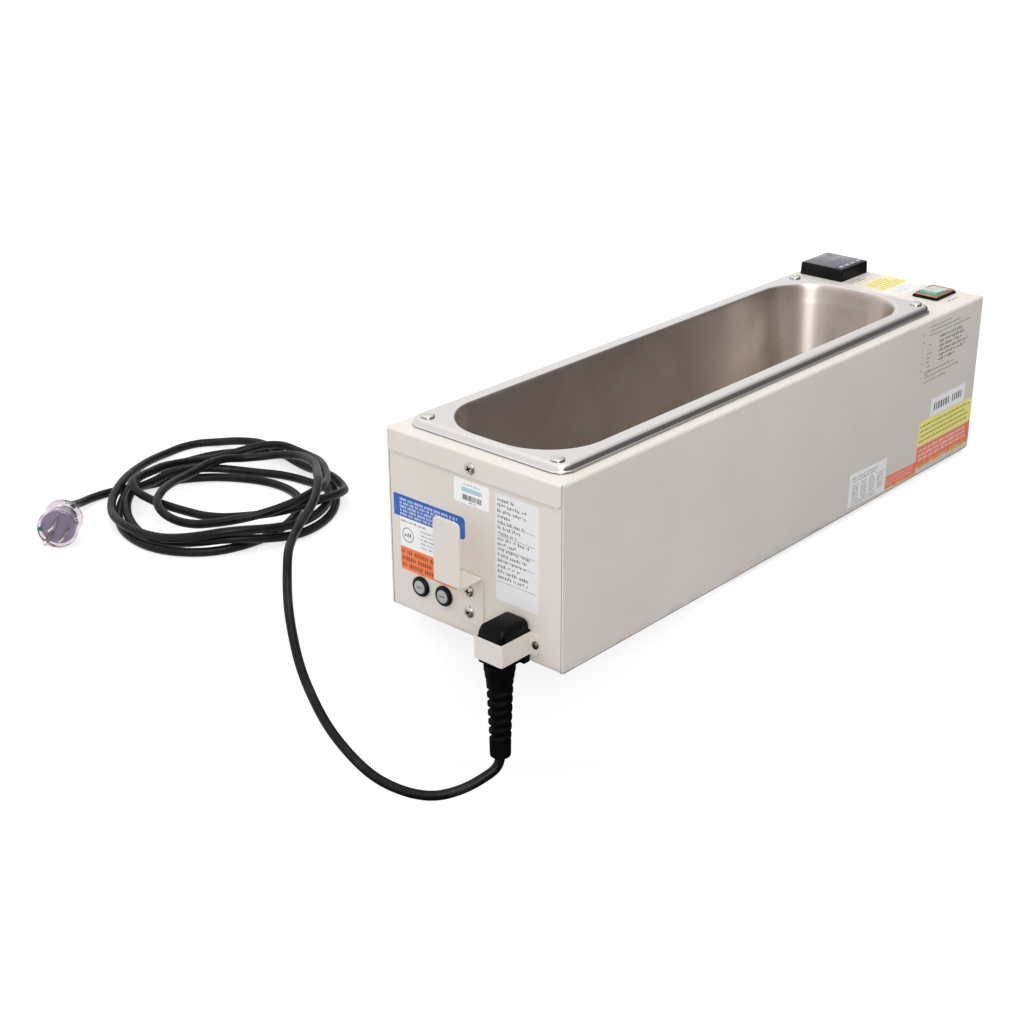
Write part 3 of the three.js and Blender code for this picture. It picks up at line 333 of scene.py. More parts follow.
class Nodes:
    """The shader nodes of one tree."""

    def __init__(self, tree):
        self.tree = tree
        tree.nodes.clear()

    def node(self, kind, inputs=None, output=0, **settings):
        made = self.tree.nodes.new("ShaderNode" + kind)
        for name, value in settings.items():
            setattr(made, name, value)
        for name, value in (inputs or {}).items():
            self.feed(made.inputs[name], value)
        return made.outputs[output] if made.outputs else made

    def feed(self, socket, value):
        if isinstance(value, bpy.types.NodeSocket):
            self.tree.links.new(value, socket)
        else:
            socket.default_value = value

    def spread(self, value, low, high, to_low=0, to_high=1, **settings):
        """Maps low and high to two other values, and holds to them outside that range."""
        values = {"Value": value, "From Min": low, "From Max": high, "To Min": to_low, "To Max": to_high}
        return self.node("MapRange", values, **settings)


class Finish(Nodes):
    """A Principled material fed by procedural nodes, in the object's own metres."""

    def __init__(self, name, **values):
        self.material = bpy.data.materials.new(name)
        self.material.use_nodes = True
        super().__init__(self.material.node_tree)
        self.shader = self.tree.nodes.new("ShaderNodeBsdfPrincipled")
        self.node("OutputMaterial", {"Surface": self.shader.outputs[0]})
        self.place = self.node("TexCoord", output="Object")
        self.normal = None
        for name, value in values.items():
            self.set(name.replace("_", " "), value)

    def set(self, name, value):
        self.feed(self.shader.inputs[name], value)

    def tint(self, share, first, second):
        self.set("Base Color", self.blend(share, first, second))

    def roughen(self, pattern, low, high):
        self.set("Roughness", self.spread(pattern, 0.3, 0.7, low, high))

    def noise(self, scale, detail=3, stretch=(1, 1, 1), distortion=0):
        place = self.node("Mapping", {"Vector": self.place, "Scale": stretch})
        values = {"Vector": place, "Scale": scale, "Detail": detail, "Distortion": distortion}
        return self.node("TexNoise", values)

    def times(self, first, second):
        return self.node("Math", {0: first, 1: second}, operation="MULTIPLY")

    def blend(self, share, first, second):
        return self.node("Mix", {0: share, 6: first, 7: second}, output=2, data_type="RGBA")

    def height(self):
        return self.node("SeparateXYZ", {"Vector": self.place}, output=2)

    def bump(self, height, strength, depth):
        values = {"Strength": strength, "Distance": depth * MM, "Height": height}
        if self.normal:
            values["Normal"] = self.normal
        self.normal = self.node("Bump", values)
        self.set("Normal", self.normal)

    def edges(self, radius):
        """How far a point is onto a rounded-off edge, from 0 on a flat face to 1."""
        rounded = self.node("Bevel", {"Radius": radius * MM}, samples=4)
        true = self.node("NewGeometry", output="Normal")
        match = self.node("VectorMath", {0: rounded, 1: true}, output=1, operation="DOT_PRODUCT")
        return self.spread(match, 0.995, 0.93)


PAINT = colour(231, 224, 217)
PAINT_SHADE = colour(226, 218, 210)
DUST = colour(168, 158, 146)
# The colour that the paint is darkened towards within a few millimetres of the underside.
LOW_DARKENING = colour(150, 138, 124)
PRIMER = colour(104, 99, 94)


def cream_paint():
    """Satin enamel with orange peel, faint clouding, dust specks, streaky darkening towards the bottom and worn
    edges.
    """
    finish = Finish("cream_paint")
    cloud = finish.noise(9, detail=4)
    tone = finish.blend(finish.spread(cloud, 0.35, 0.65), PAINT, PAINT_SHADE)
    specks = finish.spread(finish.noise(430, detail=1), 0.755, 0.78)
    tone = finish.blend(finish.times(specks, 0.3), tone, DUST)
    # Darker towards the bottom: up to 7 mm above the underside, broken into upright streaks.
    low = finish.spread(finish.height(), 0.007, 0.001)
    low_streaks = finish.spread(finish.noise(60, stretch=(1, 1, 3)), 0.46, 0.72)
    tone = finish.blend(finish.times(finish.times(low, low_streaks), 0.4), tone, LOW_DARKENING)
    worn = finish.spread(finish.noise(90, detail=3), 0.56, 0.74)
    tone = finish.blend(finish.times(finish.times(finish.edges(0.6), worn), 0.35), tone, PRIMER)
    finish.set("Base Color", tone)
    finish.roughen(cloud, 0.38, 0.5)
    finish.bump(finish.noise(640, detail=2), 0.18, 0.05)
    finish.bump(finish.noise(30), 0.05, 0.6)
    return finish.material


STEEL = colour(214, 211, 209)
# The basin wall's painted shade and painted reflected light, for its two ends along x.
STEEL_SHADED_END = colour(190, 181, 175)
STEEL_LIT_END = colour(213, 204, 198)
STEEL_STAINED = colour(168, 157, 150)
STEEL_SPOT = colour(112, 100, 92)


def basin_wall():
    """Drawn sheet that scatters light up and down, with painted shade up to 80 mm along x and a painted reflection
    beyond 200 mm, stains and a few spots.
    """
    finish = Finish("basin_wall", Metallic=1, Anisotropic=0.85)
    stain = finish.noise(13, detail=5, distortion=0.4)
    spots = finish.spread(finish.noise(260, detail=1), 0.77, 0.79)
    along = finish.node("SeparateXYZ", {"Vector": finish.place}, output=0)
    # Painted light: the wall's colour runs from painted shade up to 80 mm along x to a painted reflection beyond
    # 200 mm.
    wall = finish.blend(finish.spread(along, 0.08, 0.2), STEEL_SHADED_END, STEEL_LIT_END)
    worn = finish.blend(finish.times(finish.spread(stain, 0.38, 0.7), 0.8), wall, STEEL_STAINED)
    finish.tint(finish.times(spots, 0.5), worn, STEEL_SPOT)
    finish.roughen(stain, 0.36, 0.44)
    finish.set("Tangent", finish.node("CombineXYZ", {"X": 0.05, "Z": 1}))
    finish.bump(finish.noise(1, detail=3, stretch=(16, 16, 520)), 0.1, 0.03)
    finish.bump(finish.noise(6, detail=2), 0.06, 0.8)
    return finish.material


def basin_rim():
    """The same sheet where the tool left it bright, with faint polishing lines."""
    finish = Finish("basin_rim", Metallic=1, Base_Color=STEEL)
    finish.roughen(finish.noise(13, detail=5), 0.17, 0.22)
    finish.bump(finish.noise(1, detail=3, stretch=(60, 60, 520)), 0.1, 0.03)
    finish.bump(finish.noise(8, detail=2), 0.05, 0.6)
    return finish.material


def bright_metal(name, tint, roughness):
    """Plated metal with fine machining marks and faint tarnish."""
    finish = Finish(name, Metallic=1)
    tarnish = finish.noise(180, detail=4)
    dull = tuple(0.72 * value for value in tint[:3]) + (1,)
    finish.tint(finish.spread(tarnish, 0.42, 0.7), tint, dull)
    finish.roughen(tarnish, roughness, roughness + 0.14)
    finish.bump(finish.noise(2400, detail=1), 0.08, 0.01)
    return finish.material


def moulded(name, tint, roughness, grain=0.15, dust=0.06, shine=0.5):
    """Moulded plastic or rubber: a fine grain, with dust and handling that lighten it in patches."""
    finish = Finish(name, Specular_IOR_Level=shine)
    patches = finish.noise(70, detail=4)
    pale = tuple(value + dust for value in tint[:3]) + (1,)
    finish.tint(finish.spread(patches, 0.45, 0.8), tint, pale)
    finish.roughen(patches, roughness, roughness + 0.12)
    finish.bump(finish.noise(1900, detail=2), grain, 0.03)
    return finish.material


def cord_jacket():
    """Rubber jacket: faint drag marks and chalky scuffs."""
    finish = Finish("cord_jacket", Specular_IOR_Level=0.18)
    scuffs = finish.noise(38, detail=5, distortion=0.4)
    chalk = finish.spread(scuffs, 0.5, 0.8)
    finish.tint(chalk, colour(10, 10, 11), colour(42, 42, 44))
    finish.roughen(scuffs, 0.32, 0.5)
    finish.bump(finish.noise(900, detail=2), 0.12, 0.04)
    return finish.material


def smoked_window():
    finish = Finish("smoked_window", IOR=1.5)
    smudge = finish.noise(60, detail=3)
    finish.tint(smudge, colour(84, 86, 90), colour(98, 100, 104))
    finish.roughen(smudge, 0.12, 0.24)
    finish.bump(finish.noise(900, detail=1), 0.05, 0.02)
    return finish.material


def clear_plastic(name, tint, roughness=0.04, bend=1.47):
    """Clear moulded plastic with flow marks."""
    finish = Finish(name, IOR=bend, Transmission_Weight=1, Coat_Weight=1, Coat_Roughness=0.03)
    flow = finish.noise(120, detail=2, distortion=1)
    deeper = tuple(value * 0.8 for value in tint[:3]) + (1,)
    finish.tint(flow, tint, deeper)
    finish.roughen(flow, roughness, roughness + 0.05)
    finish.bump(flow, 0.1, 0.15)
    return finish.material


def lit_plastic(name, tint, deep, roughness=0.18):
    """Translucent switch plastic."""
    finish = Finish(name, Subsurface_Weight=0.35, Subsurface_Scale=0.002, Coat_Weight=0.3)
    finish.set("Subsurface Radius", tint[:3])
    body = finish.noise(220, detail=2)
    finish.tint(finish.spread(body, 0.3, 0.7), tint, deep)
    finish.roughen(body, roughness, roughness + 0.1)
    finish.bump(finish.noise(1500, detail=1), 0.06, 0.02)
    return finish.material


def film(name, tint, roughness=0.4):
    """Printed label film, a little uneven and rubbed."""
    finish = Finish(name)
    rub = finish.noise(85, detail=5)
    worn = tuple(0.25 * 0.8 + 0.75 * value for value in tint[:3]) + (1,)
    finish.tint(finish.spread(rub, 0.5, 0.82, 0, 0.55), tint, worn)
    finish.roughen(rub, roughness, roughness + 0.18)
    finish.bump(finish.noise(160, detail=3), 0.12, 0.1)
    return finish.material


def fibrous(name, tint, shade, scale=500):
    """Glass fibre, cloth or sleeving."""
    finish = Finish(name, Roughness=0.9, Sheen_Weight=0.3)
    strands = finish.noise(scale, detail=5, stretch=(1, 3, 1), distortion=1.5)
    finish.tint(strands, tint, shade)
    finish.bump(strands, 0.6, 0.4)
    return finish.material


CREAM = cream_paint()
BASIN_WALL = basin_wall()
BASIN_RIM = basin_rim()
SCREW = bright_metal("bright_screw", colour(214, 211, 205), 0.16)
PLATED = bright_metal("plated_screw", colour(206, 200, 194), 0.2)
# A darker, rougher metal, used for the strap screws.
DARKER_SCREW_METAL = bright_metal("darker_screw", colour(116, 108, 100), 0.34)
RECESS = moulded("recess_shadow", colour(30, 27, 25), 0.6, dust=0.02, shine=0.1)
NICKEL = bright_metal("nickel", colour(226, 220, 214), 0.12)
UNLIT = moulded("unlit_segments", colour(62, 64, 66), 0.3, dust=0.02)
BRASS = bright_metal("brass", colour(206, 184, 130), 0.22)
BLACK = moulded("black_plastic", colour(10, 10, 11), 0.26, dust=0.004, shine=0.14)
CONNECTOR_BLACK = moulded("connector_black", colour(8, 8, 8), 0.3, dust=0.002, shine=0.07)
FRAME_BLACK = moulded("frame_black", colour(26, 17, 12), 0.35, dust=0.006, shine=0.15)
KEY_GREY = moulded("key_grey", colour(150, 153, 162), 0.35, dust=0.03)
CAP_GREY = moulded("cap_grey", colour(176, 176, 176), 0.4, dust=0.05)
RUBBER = moulded("rubber", colour(7, 7, 8), 0.42, grain=0.25, dust=0.002, shine=0.05)
JACKET = cord_jacket()
WINDOW = smoked_window()
VIOLET = clear_plastic("clear_violet", colour(244, 230, 240), 0.04, bend=1.14)
FUSE_GLASS = clear_plastic("fuse_glass", colour(226, 236, 236), 0.02)
CORE = moulded("dark_core", colour(58, 58, 84), 0.35, dust=0.03)
DISC = moulded("carrier_disc", colour(134, 132, 154), 0.35, dust=0.03)
GREEN_DOT = lit_plastic("green_dot", colour(0, 124, 92), colour(0, 92, 70), 0.08)
SKIRT = lit_plastic("switch_skirt", colour(184, 136, 112), colour(160, 110, 88), 0.14)
ROCKER = lit_plastic("green_rocker", colour(150, 204, 188), colour(124, 180, 164), 0.1)
# The paler copy of the rocker's plastic, for its top: a painted highlight.
ROCKER_HIGHLIGHT = lit_plastic("rocker_painted_highlight", colour(206, 208, 198), colour(190, 196, 184), 0.2)
INK = film("dark_ink", colour(46, 44, 46), 0.5)
SOFT_INK = film("soft_ink", colour(78, 76, 78), 0.5)
PALE_INK = film("pale_ink", colour(236, 238, 242), 0.5)


# ---- Sheet metal ----

SEAM = 0.55
SEAM_FOOT = 0.6
SEAM_TOP = 134


def sheet_metal():
    """The painted sheets keep their CAD shape. Dark strips stand for the shadow in the seams between them."""
    for node in ("housing_cover", "chassis_base"):
        refine(node, CREAM, edge=0.25)
    for node in ("cord_hook", "cord_strap"):
        refine(node, CREAM, edge=0.3)
    half_width = -COVER_LOW.y
    upright = [
        slab((side, SEAM_FOOT), (side + SEAM, SEAM_TOP), -1.2, -0.12)
        for side in (half_width - 1.5 - SEAM, 1.5 - half_width)
    ]
    make("end_seams", merged(*upright), RECESS, MAINS_END)
    along = slab((1 - PANEL_X, 0.45), (PANEL_X - 1, COVER_LOW.z + 0.05), -1.4, -0.15)
    make("lower_seam", along, RECESS, FRONT)


# ---- Basin ----

RIM_CORNER = 13
OPENING_CORNER = 60
SIDE_FLANGE_EXTRA = 6
FLANGE_FROM = 4.5
FLANGE_TO = 7.5
BASIN_SHEET = 1
LIP_FROM = 8.3
CORNER_STEPS = 24
SCREW_HOLE = 2.1
SCREW_SHANK = 1.7
DOME_RISE = 2.2
PAN_RISE = 2.4


def rim_ring(inward, height):
    """The basin's outline at a distance in from the rim. The flange is wider along the sides."""
    half = half_mm("basin")
    share = held(inward, FLANGE_FROM, FLANGE_TO)
    outer_corner = max(RIM_CORNER - inward, 1)
    corner = outer_corner + (OPENING_CORNER - inward - outer_corner) * share
    side = half.y - inward - SIDE_FLANGE_EXTRA * share
    return ring(outline(half.x - inward, side, corner, CORNER_STEPS), height, middle_mm("basin"))


def basin_section(depth):
    """The sheet's upper face as (inwards, below the rim's top): bead, flange, wall and floor."""
    bead = [(0, 6.2), (0.1, 5.4), (0.9, 4.9), (1.4, 3.0), (2.4, 1.2), (4.2, 0.2), (FLANGE_FROM + 0.6, 0)]
    lip = [(FLANGE_TO, 0), (8.9, 0.6), (9.8, 2.2), (10.4, 5), (11.5, 14), (12.2, 18)]
    wall = [(20, depth - 12), (22, depth - 5.4), (26.5, depth - 1.1), (33, depth)]
    return filleted(bead + lip + wall, 1.6)


def basin():
    low, high = box_mm("basin")
    upper = basin_section(high.z - low.z - BASIN_SHEET)
    lower = []
    for i, point in enumerate(upper):
        along = (upper[min(i + 1, len(upper) - 1)] - upper[max(i - 1, 0)]).normalized()
        lower.append(point + Vector((-along.y, along.x)) * BASIN_SHEET)
    split = next(i for i, (inward, down) in enumerate(upper) if inward > LIP_FROM)

    def rings(points):
        return [rim_ring(inward, high.z - down) for inward, down in points]

    cutter = lathe([(0, -9), (SCREW_HOLE, -9), (SCREW_HOLE, 4), (0, 4)], 32)
    holes = [moved(cutter, Matrix.Translation(middle_mm(f"basin_screw_{i}"))) for i in range(1, 5)]
    rim = loft(rings(lower[split::-1] + upper[: split + 1]), ends="joined")
    make("basin_rim", rim, BASIN_RIM, cuts=holes, sharp=50)
    well = loft(rings(lower[: split - 1 : -1] + upper[split:]))
    make("basin_well", well, BASIN_WALL, replaces=["basin"], sharp=50)
    refine("basin_gasket", RUBBER, edge=0.1)


def screw_head(head, rise, shank, reach):
    """A domed head over a shank, with its seat at height 0."""
    angles = np.linspace(0, math.pi / 2, 12)
    dome = [(head * math.cos(angle), rise * (0.3 + 0.7 * math.sin(angle))) for angle in angles]
    dome[-1] = (0, rise)
    return [(0, -reach), (shank * 0.6, -reach), (shank, 1 - reach), (shank, 0), (head * 0.97, 0), *dome]


def basin_screws():
    for i in range(1, 5):
        node = f"basin_screw_{i}"
        low, high = box_mm(node)
        seat = high.z - DOME_RISE
        profile = screw_head(half_mm(node).x, DOME_RISE, SCREW_SHANK, seat - low.z)
        at = shift(*middle_mm(node).xy, seat)
        make(f"dome_screw_{i}", lathe(profile), SCREW, at, replaces=[node])


def cross_recess(size, low, high):
    bars = [outline(size / 2, size / 7, size / 9, 3), outline(size / 7, size / 2, size / 9, 3)]
    return [prism(points, low, high) for points in bars]


def cross_screws():
    """The cross-recess screws, each standing out of an end panel along x."""
    nodes = ["cover_screw_left", "cover_screw_right", "hook_screw_upper", "hook_screw_lower"]
    nodes += ["strap_screw_left", "strap_screw_right"]
    for i, node in enumerate(nodes):
        half = half_mm(node)
        head = half.z
        outward = 1 if node == "cover_screw_right" else -1
        seat = middle_mm(node) + Vector((outward * (half.x - PAN_RISE), 0, 0))
        at = face(seat, (0, outward, 0), (0, 0, 1)) @ turned(25 + 31 * i)
        profile = screw_head(head, PAN_RISE, SCREW_SHANK, 2 * half.x - PAN_RISE)
        recess = cross_recess(1.1 * head, PAN_RISE - 1.5, PAN_RISE + 1)
        shadow = cross_recess(1.06 * head, PAN_RISE - 1.6, PAN_RISE - 0.9)
        make(f"recess_floor_{i + 1}", merged(*shadow), RECESS, at)
        # The strap screws get the darker, rougher metal.
        material = DARKER_SCREW_METAL if node.startswith("strap") else PLATED
        name = node.replace("screw", "cross_screw")
        make(name, lathe(profile, 48), material, at, replaces=[node], cuts=recess)


# ---- Controller ----

KEY_MARK = 0.06
BEZEL_STATIONS = [(0, 0.2), (0, 0.9), (0.15, 1.4), (0.35, 8.5), (0.5, 11.0)]
BEZEL_STATIONS += [(0.8, 11.6), (1.3, 11.9), (1.8, 12)]
PANE_INSET = 2.1
KEY_GAP = 0.25
COLLAR_WALL = 2.5


def seven_segments(width, height, bar):
    """The seven unlit bars of one digit, about the origin."""
    bars = []
    for level in (-1, 0, 1):
        bars.append(((0, level * height / 2), width - 1.3 * bar, 0))
    for side in (-1, 1):
        for level in (-1, 1):
            bars.append(((side * width / 2, level * height / 4), height / 2 - 1.3 * bar, 90))
    shapes = []
    for (x, y), length, turn in bars:
        half = length / 2
        points = [(-half, 0), (-half + bar / 2, -bar / 2), (half - bar / 2, -bar / 2)]
        points += [(half, 0), (half - bar / 2, bar / 2), (-half + bar / 2, bar / 2)]
        bar_shape = prism([Vector(point) for point in points], 0, KEY_MARK)
        shapes.append(moved(bar_shape, shift(x, y) @ turned(turn)))
    return merged(*shapes)


def controller():
    """The case goes down through the deck, and its bezel, window and keys stand above it."""
    refine("controller_collar", BLACK, edge=0.3)
    low = box_mm("controller_housing")[0]
    centre = Vector((*middle_mm("controller_housing").xy, DECK_Z))
    at = Matrix.Translation(centre)
    half = half_mm("controller_housing").x
    case_half = half_mm("controller_collar").x - COLLAR_WALL
    rings = [ring(outline(case_half, case_half, 1.2), z) for z in (low.z - DECK_Z, 0.5)]
    rings += [ring(outline(half - inset, half - inset, 1.8), z) for inset, z in BEZEL_STATIONS]
    keys = [box_mm(f"controller_key_{i}") for i in range(1, 5)]
    cuts = []
    for key_low, key_high in keys:
        size = (key_high - key_low) / 2 + Vector((KEY_GAP, KEY_GAP, 0))
        middle = (key_low + key_high) / 2 - centre
        cuts.append(loft([ring(outline(size.x, size.y, 1.1), z, middle) for z in (8, 13)]))
    make("controller_case", loft(rings), BLACK, at, replaces=["controller_housing"], cuts=cuts, sharp=30)

    top = BEZEL_STATIONS[-1][1]
    pane = half - PANE_INSET
    strip = key_high.y - centre.y + 1.2
    levels = ((0, top - 1.2), (0, top + 0.1), (0.25, top + 0.3))
    window = loft([
        ring(outline(pane - inset, (pane - strip) / 2 - inset, 0.8), z, (0, (pane + strip) / 2))
        for inset, z in levels
    ])
    make("smoked_pane", window, WINDOW, at, replaces=["controller_window"])
    digits = []
    for row, (width, height, pitch) in {12.4: (4.4, 9, 7.8), -1.5: (3.4, 6.6, 6.2)}.items():
        for i in range(4):
            place = shift((i - 1.5) * pitch, row, top + 0.28)
            digits.append(moved(seven_segments(width, height, width / 7), place))
    make("controller_digits", merged(*digits), UNLIT, at)
    marks = [
        circle(0.9, 24),
        outline(0.8, 0.8, 0.2, 3),
        [Vector((-1, 0.6)), Vector((0, -0.9)), Vector((1, 0.6))],
        [Vector((-1, -0.6)), Vector((1, -0.6)), Vector((0, 0.9))],
    ]
    for i, ((key_low, key_high), mark) in enumerate(zip(keys, marks), 1):
        size, middle = (key_high - key_low) / 2, (key_low + key_high) / 2
        rings = [(0, -3.1), (0, -0.7), (0.12, -0.3), (0.4, -0.08), (0.8, 0)]
        shape = loft([ring(outline(size.x - inset, size.y - inset, 1), drop) for inset, drop in rings])
        key_at = shift(middle.x, middle.y, key_high.z)
        make(f"key_cap_{i}", shape, KEY_GREY, key_at, body=f"key_{i}", replaces=[f"controller_key_{i}"])
        make(f"key_mark_{i}", prism(mark, -0.02, KEY_MARK), PALE_INK, key_at, body=f"key_{i}")


# ---- Rocker switch ----

ROCKER_TILT = 5
ROCKER_HALF = (12.3, 9)
ROCKER_EDGE = 4.0
ROCKER_DISH = 1.1


def rocker_switch():
    """The frame of the switch is a dark band with a translucent skirt, and the rocker's top carries a thin pale
    layer that is a painted highlight.
    """
    refine("switch_housing", BLACK, edge=0.25)
    low, high = box_mm("switch_bezel")
    half_x, half_y = half_mm("switch_bezel").xy
    half_rocker_x, half_rocker_y = ROCKER_HALF
    hole_x, hole_y = half_rocker_x + 0.7, half_rocker_y + 0.5
    rim = high.z - 0.02
    band = [(half_x, low.z), (half_x, low.z + 0.7), (half_x - 0.2, low.z + 0.95), (half_x - 1.4, low.z + 1)]
    narrow = half_x - half_y
    rings = [ring(outline(size, size - narrow, 1.8), z) for size, z in band]
    rings += [ring(outline(hole_x, hole_y, 1.2), z) for z in (low.z + 1, low.z)]
    at = shift(*middle_mm("switch_bezel").xy)
    make("switch_band", loft(rings, ends="joined"), FRAME_BLACK, at, replaces=["switch_bezel"])
    slope = ((0.5, 0.9), (0.9, 1.7), (1.7, 2.3))
    skirt = [(half_x - inset, half_y - inset, low.z + rise) for inset, rise in slope]
    skirt += [(hole_x + 1.2, hole_y + 1.2, rim), (hole_x + 0.3, hole_y + 0.3, rim)]
    skirt += [(hole_x, hole_y, rim - 0.3), (hole_x, hole_y, low.z + 0.95)]
    rings = [ring(outline(x, y, 1.6), z) for x, y, z in skirt]
    make("switch_skirt", loft(rings, ends="joined"), SKIRT, at)

    pivot = Vector(JOINTS["rocker_tilt"]["pos_m"]) / MM
    at = Matrix.Translation(pivot) @ turned(ROCKER_TILT, "Y")

    def dished(inset, drop, corner=1):
        """A ring of the rocker's top, which is hollow along its length."""
        corner = min(corner, half_rocker_y - inset)
        points = outline(half_rocker_x - inset, half_rocker_y - inset, corner)
        hollows = [ROCKER_DISH * (1 - (point.x / half_rocker_x) ** 2) for point in points]
        return [
            Vector((point.x, point.y, ROCKER_EDGE - drop - hollow)) for point, hollow in zip(points, hollows)
        ]

    body = [ring(outline(half_rocker_x * 0.8, half_rocker_y, 1), -8)]
    body.append(ring(outline(half_rocker_x, half_rocker_y, 1.2), -1))
    rounding = [(0, 0.9), (0.08, 0.5), (0.28, 0.22), (0.6, 0.05), (1.0, 0), (1.5, 0)]
    body += [dished(inset, drop, corner=1.2) for inset, drop in rounding]
    body += [dished(inset, 0.3) for inset in (1.7, 3, 5, 7, 8.6)]
    make("rocker_body", loft(body), ROCKER, at, body="rocker", replaces=["switch_rocker"])
    # A thin pale layer over the rocker's top stands for the overhead light on it: a painted highlight.
    highlight_layer = [dished(0.9, 0.8), dished(0.9, 0.16), dished(1.1, 0.02)]
    highlight_layer += [dished(inset, -0.05) for inset in (1.6, 4, 5.5, 7, 8.6)]
    make("rocker_highlight_layer", loft(highlight_layer), ROCKER_HIGHLIGHT, at, body="rocker")


# ---- Fuses ----


def fuses():
    """Each holder is a barrel with a flat chamfered flange round a slotted bayonet cap."""
    for side in ("left", "right"):
        node = f"fuse_cap_{side}"
        grip = half_mm(node).y
        cap_top = -PANEL_X - box_mm(node)[0].x
        middle = middle_mm(node)
        at = MAINS_END @ shift(-middle.y, middle.z)
        flange = [(6.2, -40), (6.2, 0.2), (8.2, 0.2), (8.4, 0.5), (8.4, 2.3), (7.6, 3.2), (grip + 0.35, 3.2)]
        profile = [(0, -40), *filleted(flange, 0.3), (grip + 0.35, -38), (0, -38)]
        make(f"fuse_socket_{side}", lathe(profile), BLACK, at, replaces=[f"fuse_holder_{side}"])
        cap = filleted([(0, -2), (grip, -2), (grip, cap_top), (0, cap_top)], 0.5)
        slot = prism(outline(3, 0.7, 0.3, 3), cap_top - 2.2, cap_top + 2)
        body = f"bayonet_cap_{side}"
        make(body, lathe(cap, 48), CAP_GREY, at, body, replaces=[node], cuts=[slot])
        refine(f"fuse_{side}", FUSE_GLASS, edge=0.1)
        refine(f"fuse_nut_{side}", SCREW, edge=0.3)


# ---- Connector, boot and cord ----


def arch(half, low, high, top_corner, bottom_corner):
    """An outline with its own radius for the top corners and for the bottom ones."""
    top_x, top_y = half - top_corner, high - top_corner
    foot_x, foot_y = half - bottom_corner, low + bottom_corner
    top = [(top_x, top_y, top_corner), (-top_x, top_y, top_corner)]
    foot = [(-foot_x, foot_y, bottom_corner), (foot_x, foot_y, bottom_corner)]
    return rounded(top + foot, 8)


def connector():
    """The cord's connector: an arched block with a chamfered top edge, a ledge and a nose in the inlet."""
    low, high = box_mm("cord_connector")
    reach = -PANEL_X - low.x
    half, bottom, top = 12.5, 3, high.z
    at = MAINS_END @ shift(-middle_mm("cord_boot").y, 0)
    stations = [(0.8, 1.2, 1.0), (1.4, 0.4, 0.4), (2.4, 0, 0), (reach - 4.8, 0, 0), (reach - 4, 0.05, 0.4)]
    stations += [(reach - 2.6, 0.2, 1.6), (reach - 1.3, 0.5, 2.9), (reach - 0.4, 1.1, 3.8), (reach, 2, 4.6)]
    rings = [
        ring(arch(half - inset, bottom + inset, top - drop, 5.5, 1.5), depth)
        for depth, inset, drop in stations
    ]
    make("connector_body", loft(rings), CONNECTOR_BLACK, at, replaces=["cord_connector"], sharp=40)
    ledge = prism(outline(13.3, 3.45, 0.8), 0.8, 7)
    make("connector_ledge", moved(ledge, shift(0, 3.95)), CONNECTOR_BLACK, at, edge=0.4)
    nose = prism(outline(12, 8.2, 2), -17.6, 2)
    make("connector_nose", moved(nose, shift(0, middle_mm("power_inlet").z)), BLACK, at, edge=0.3)
    refine("power_inlet", BLACK, edge=0.2)


BOOT_RIBS_FROM = 16
BOOT_RIBS_TO = 67
BOOT_PITCH = 7.9
BOOT_FIRST_RIB = 22
BOOT_SIDES = 72
BOOT_ROW = 0.45
BOOT_BORE = 4.8
BOOT_SHOULDER = [(0, 11.7), (0.5, 12.3), (5.4, 12.2), (6, 11.7), (11.4, 11.2), (12.2, 10.7), (17, 10.4)]


def boot_radius(depth, angle, length):
    """The boot's radius at a depth below its top: a shoulder, a winding rib that thins, and an end collar."""
    share = held(depth, BOOT_RIBS_FROM, BOOT_RIBS_TO)
    rib = 10.4 - 1.9 * share
    turns = (depth - BOOT_FIRST_RIB) / BOOT_PITCH
    shape = held(0.5 + 0.9 * math.cos(2 * math.pi * turns + angle), 0, 1)
    shape = shape * shape * (3 - 2 * shape)
    wound = rib - 2.1 * (1 - shape)
    if depth < BOOT_RIBS_FROM + 3:
        shoulder = float(np.interp(depth, *zip(*BOOT_SHOULDER)))
        return shoulder + (wound - shoulder) * held(depth, BOOT_RIBS_FROM, BOOT_RIBS_FROM + 3)
    collar_stations = [BOOT_RIBS_TO - 3, length - 1.2, length - 0.3, length]
    collar = float(np.interp(depth, collar_stations, [8.5, 8.3, 8.0, 7.4]))
    return collar + (wound - collar) * held(BOOT_RIBS_TO - depth, 0, 3)


def boot():
    low, high = box_mm("cord_boot")
    length = high.z - low.z
    rows = round(length / BOOT_ROW)
    rings = []
    for row in range(rows + 1):
        depth = length * row / rows
        section = []
        for i in range(BOOT_SIDES):
            angle = 2 * math.pi * i / BOOT_SIDES
            radius = boot_radius(depth, angle, length)
            section.append(Vector((radius * math.cos(angle), radius * math.sin(angle), high.z - depth)))
        rings.append(section)
    for radius, height in ((5.7, low.z), (BOOT_BORE, low.z + 6), (BOOT_BORE, high.z)):
        rings.append(ring(circle(radius, BOOT_SIDES), height))
    at = shift(*middle_mm("cord_boot").xy)
    make("winding_boot", loft(rings, ends="joined"), RUBBER, at, replaces=["cord_boot"], sharp=60)


CORD_RADIUS = 4
CORD_RING_POINTS = 7
CORE_LAY = 62
CORE_SWELL = 0.09
CORD_STEPS = 6
CORD_SIDES = 20


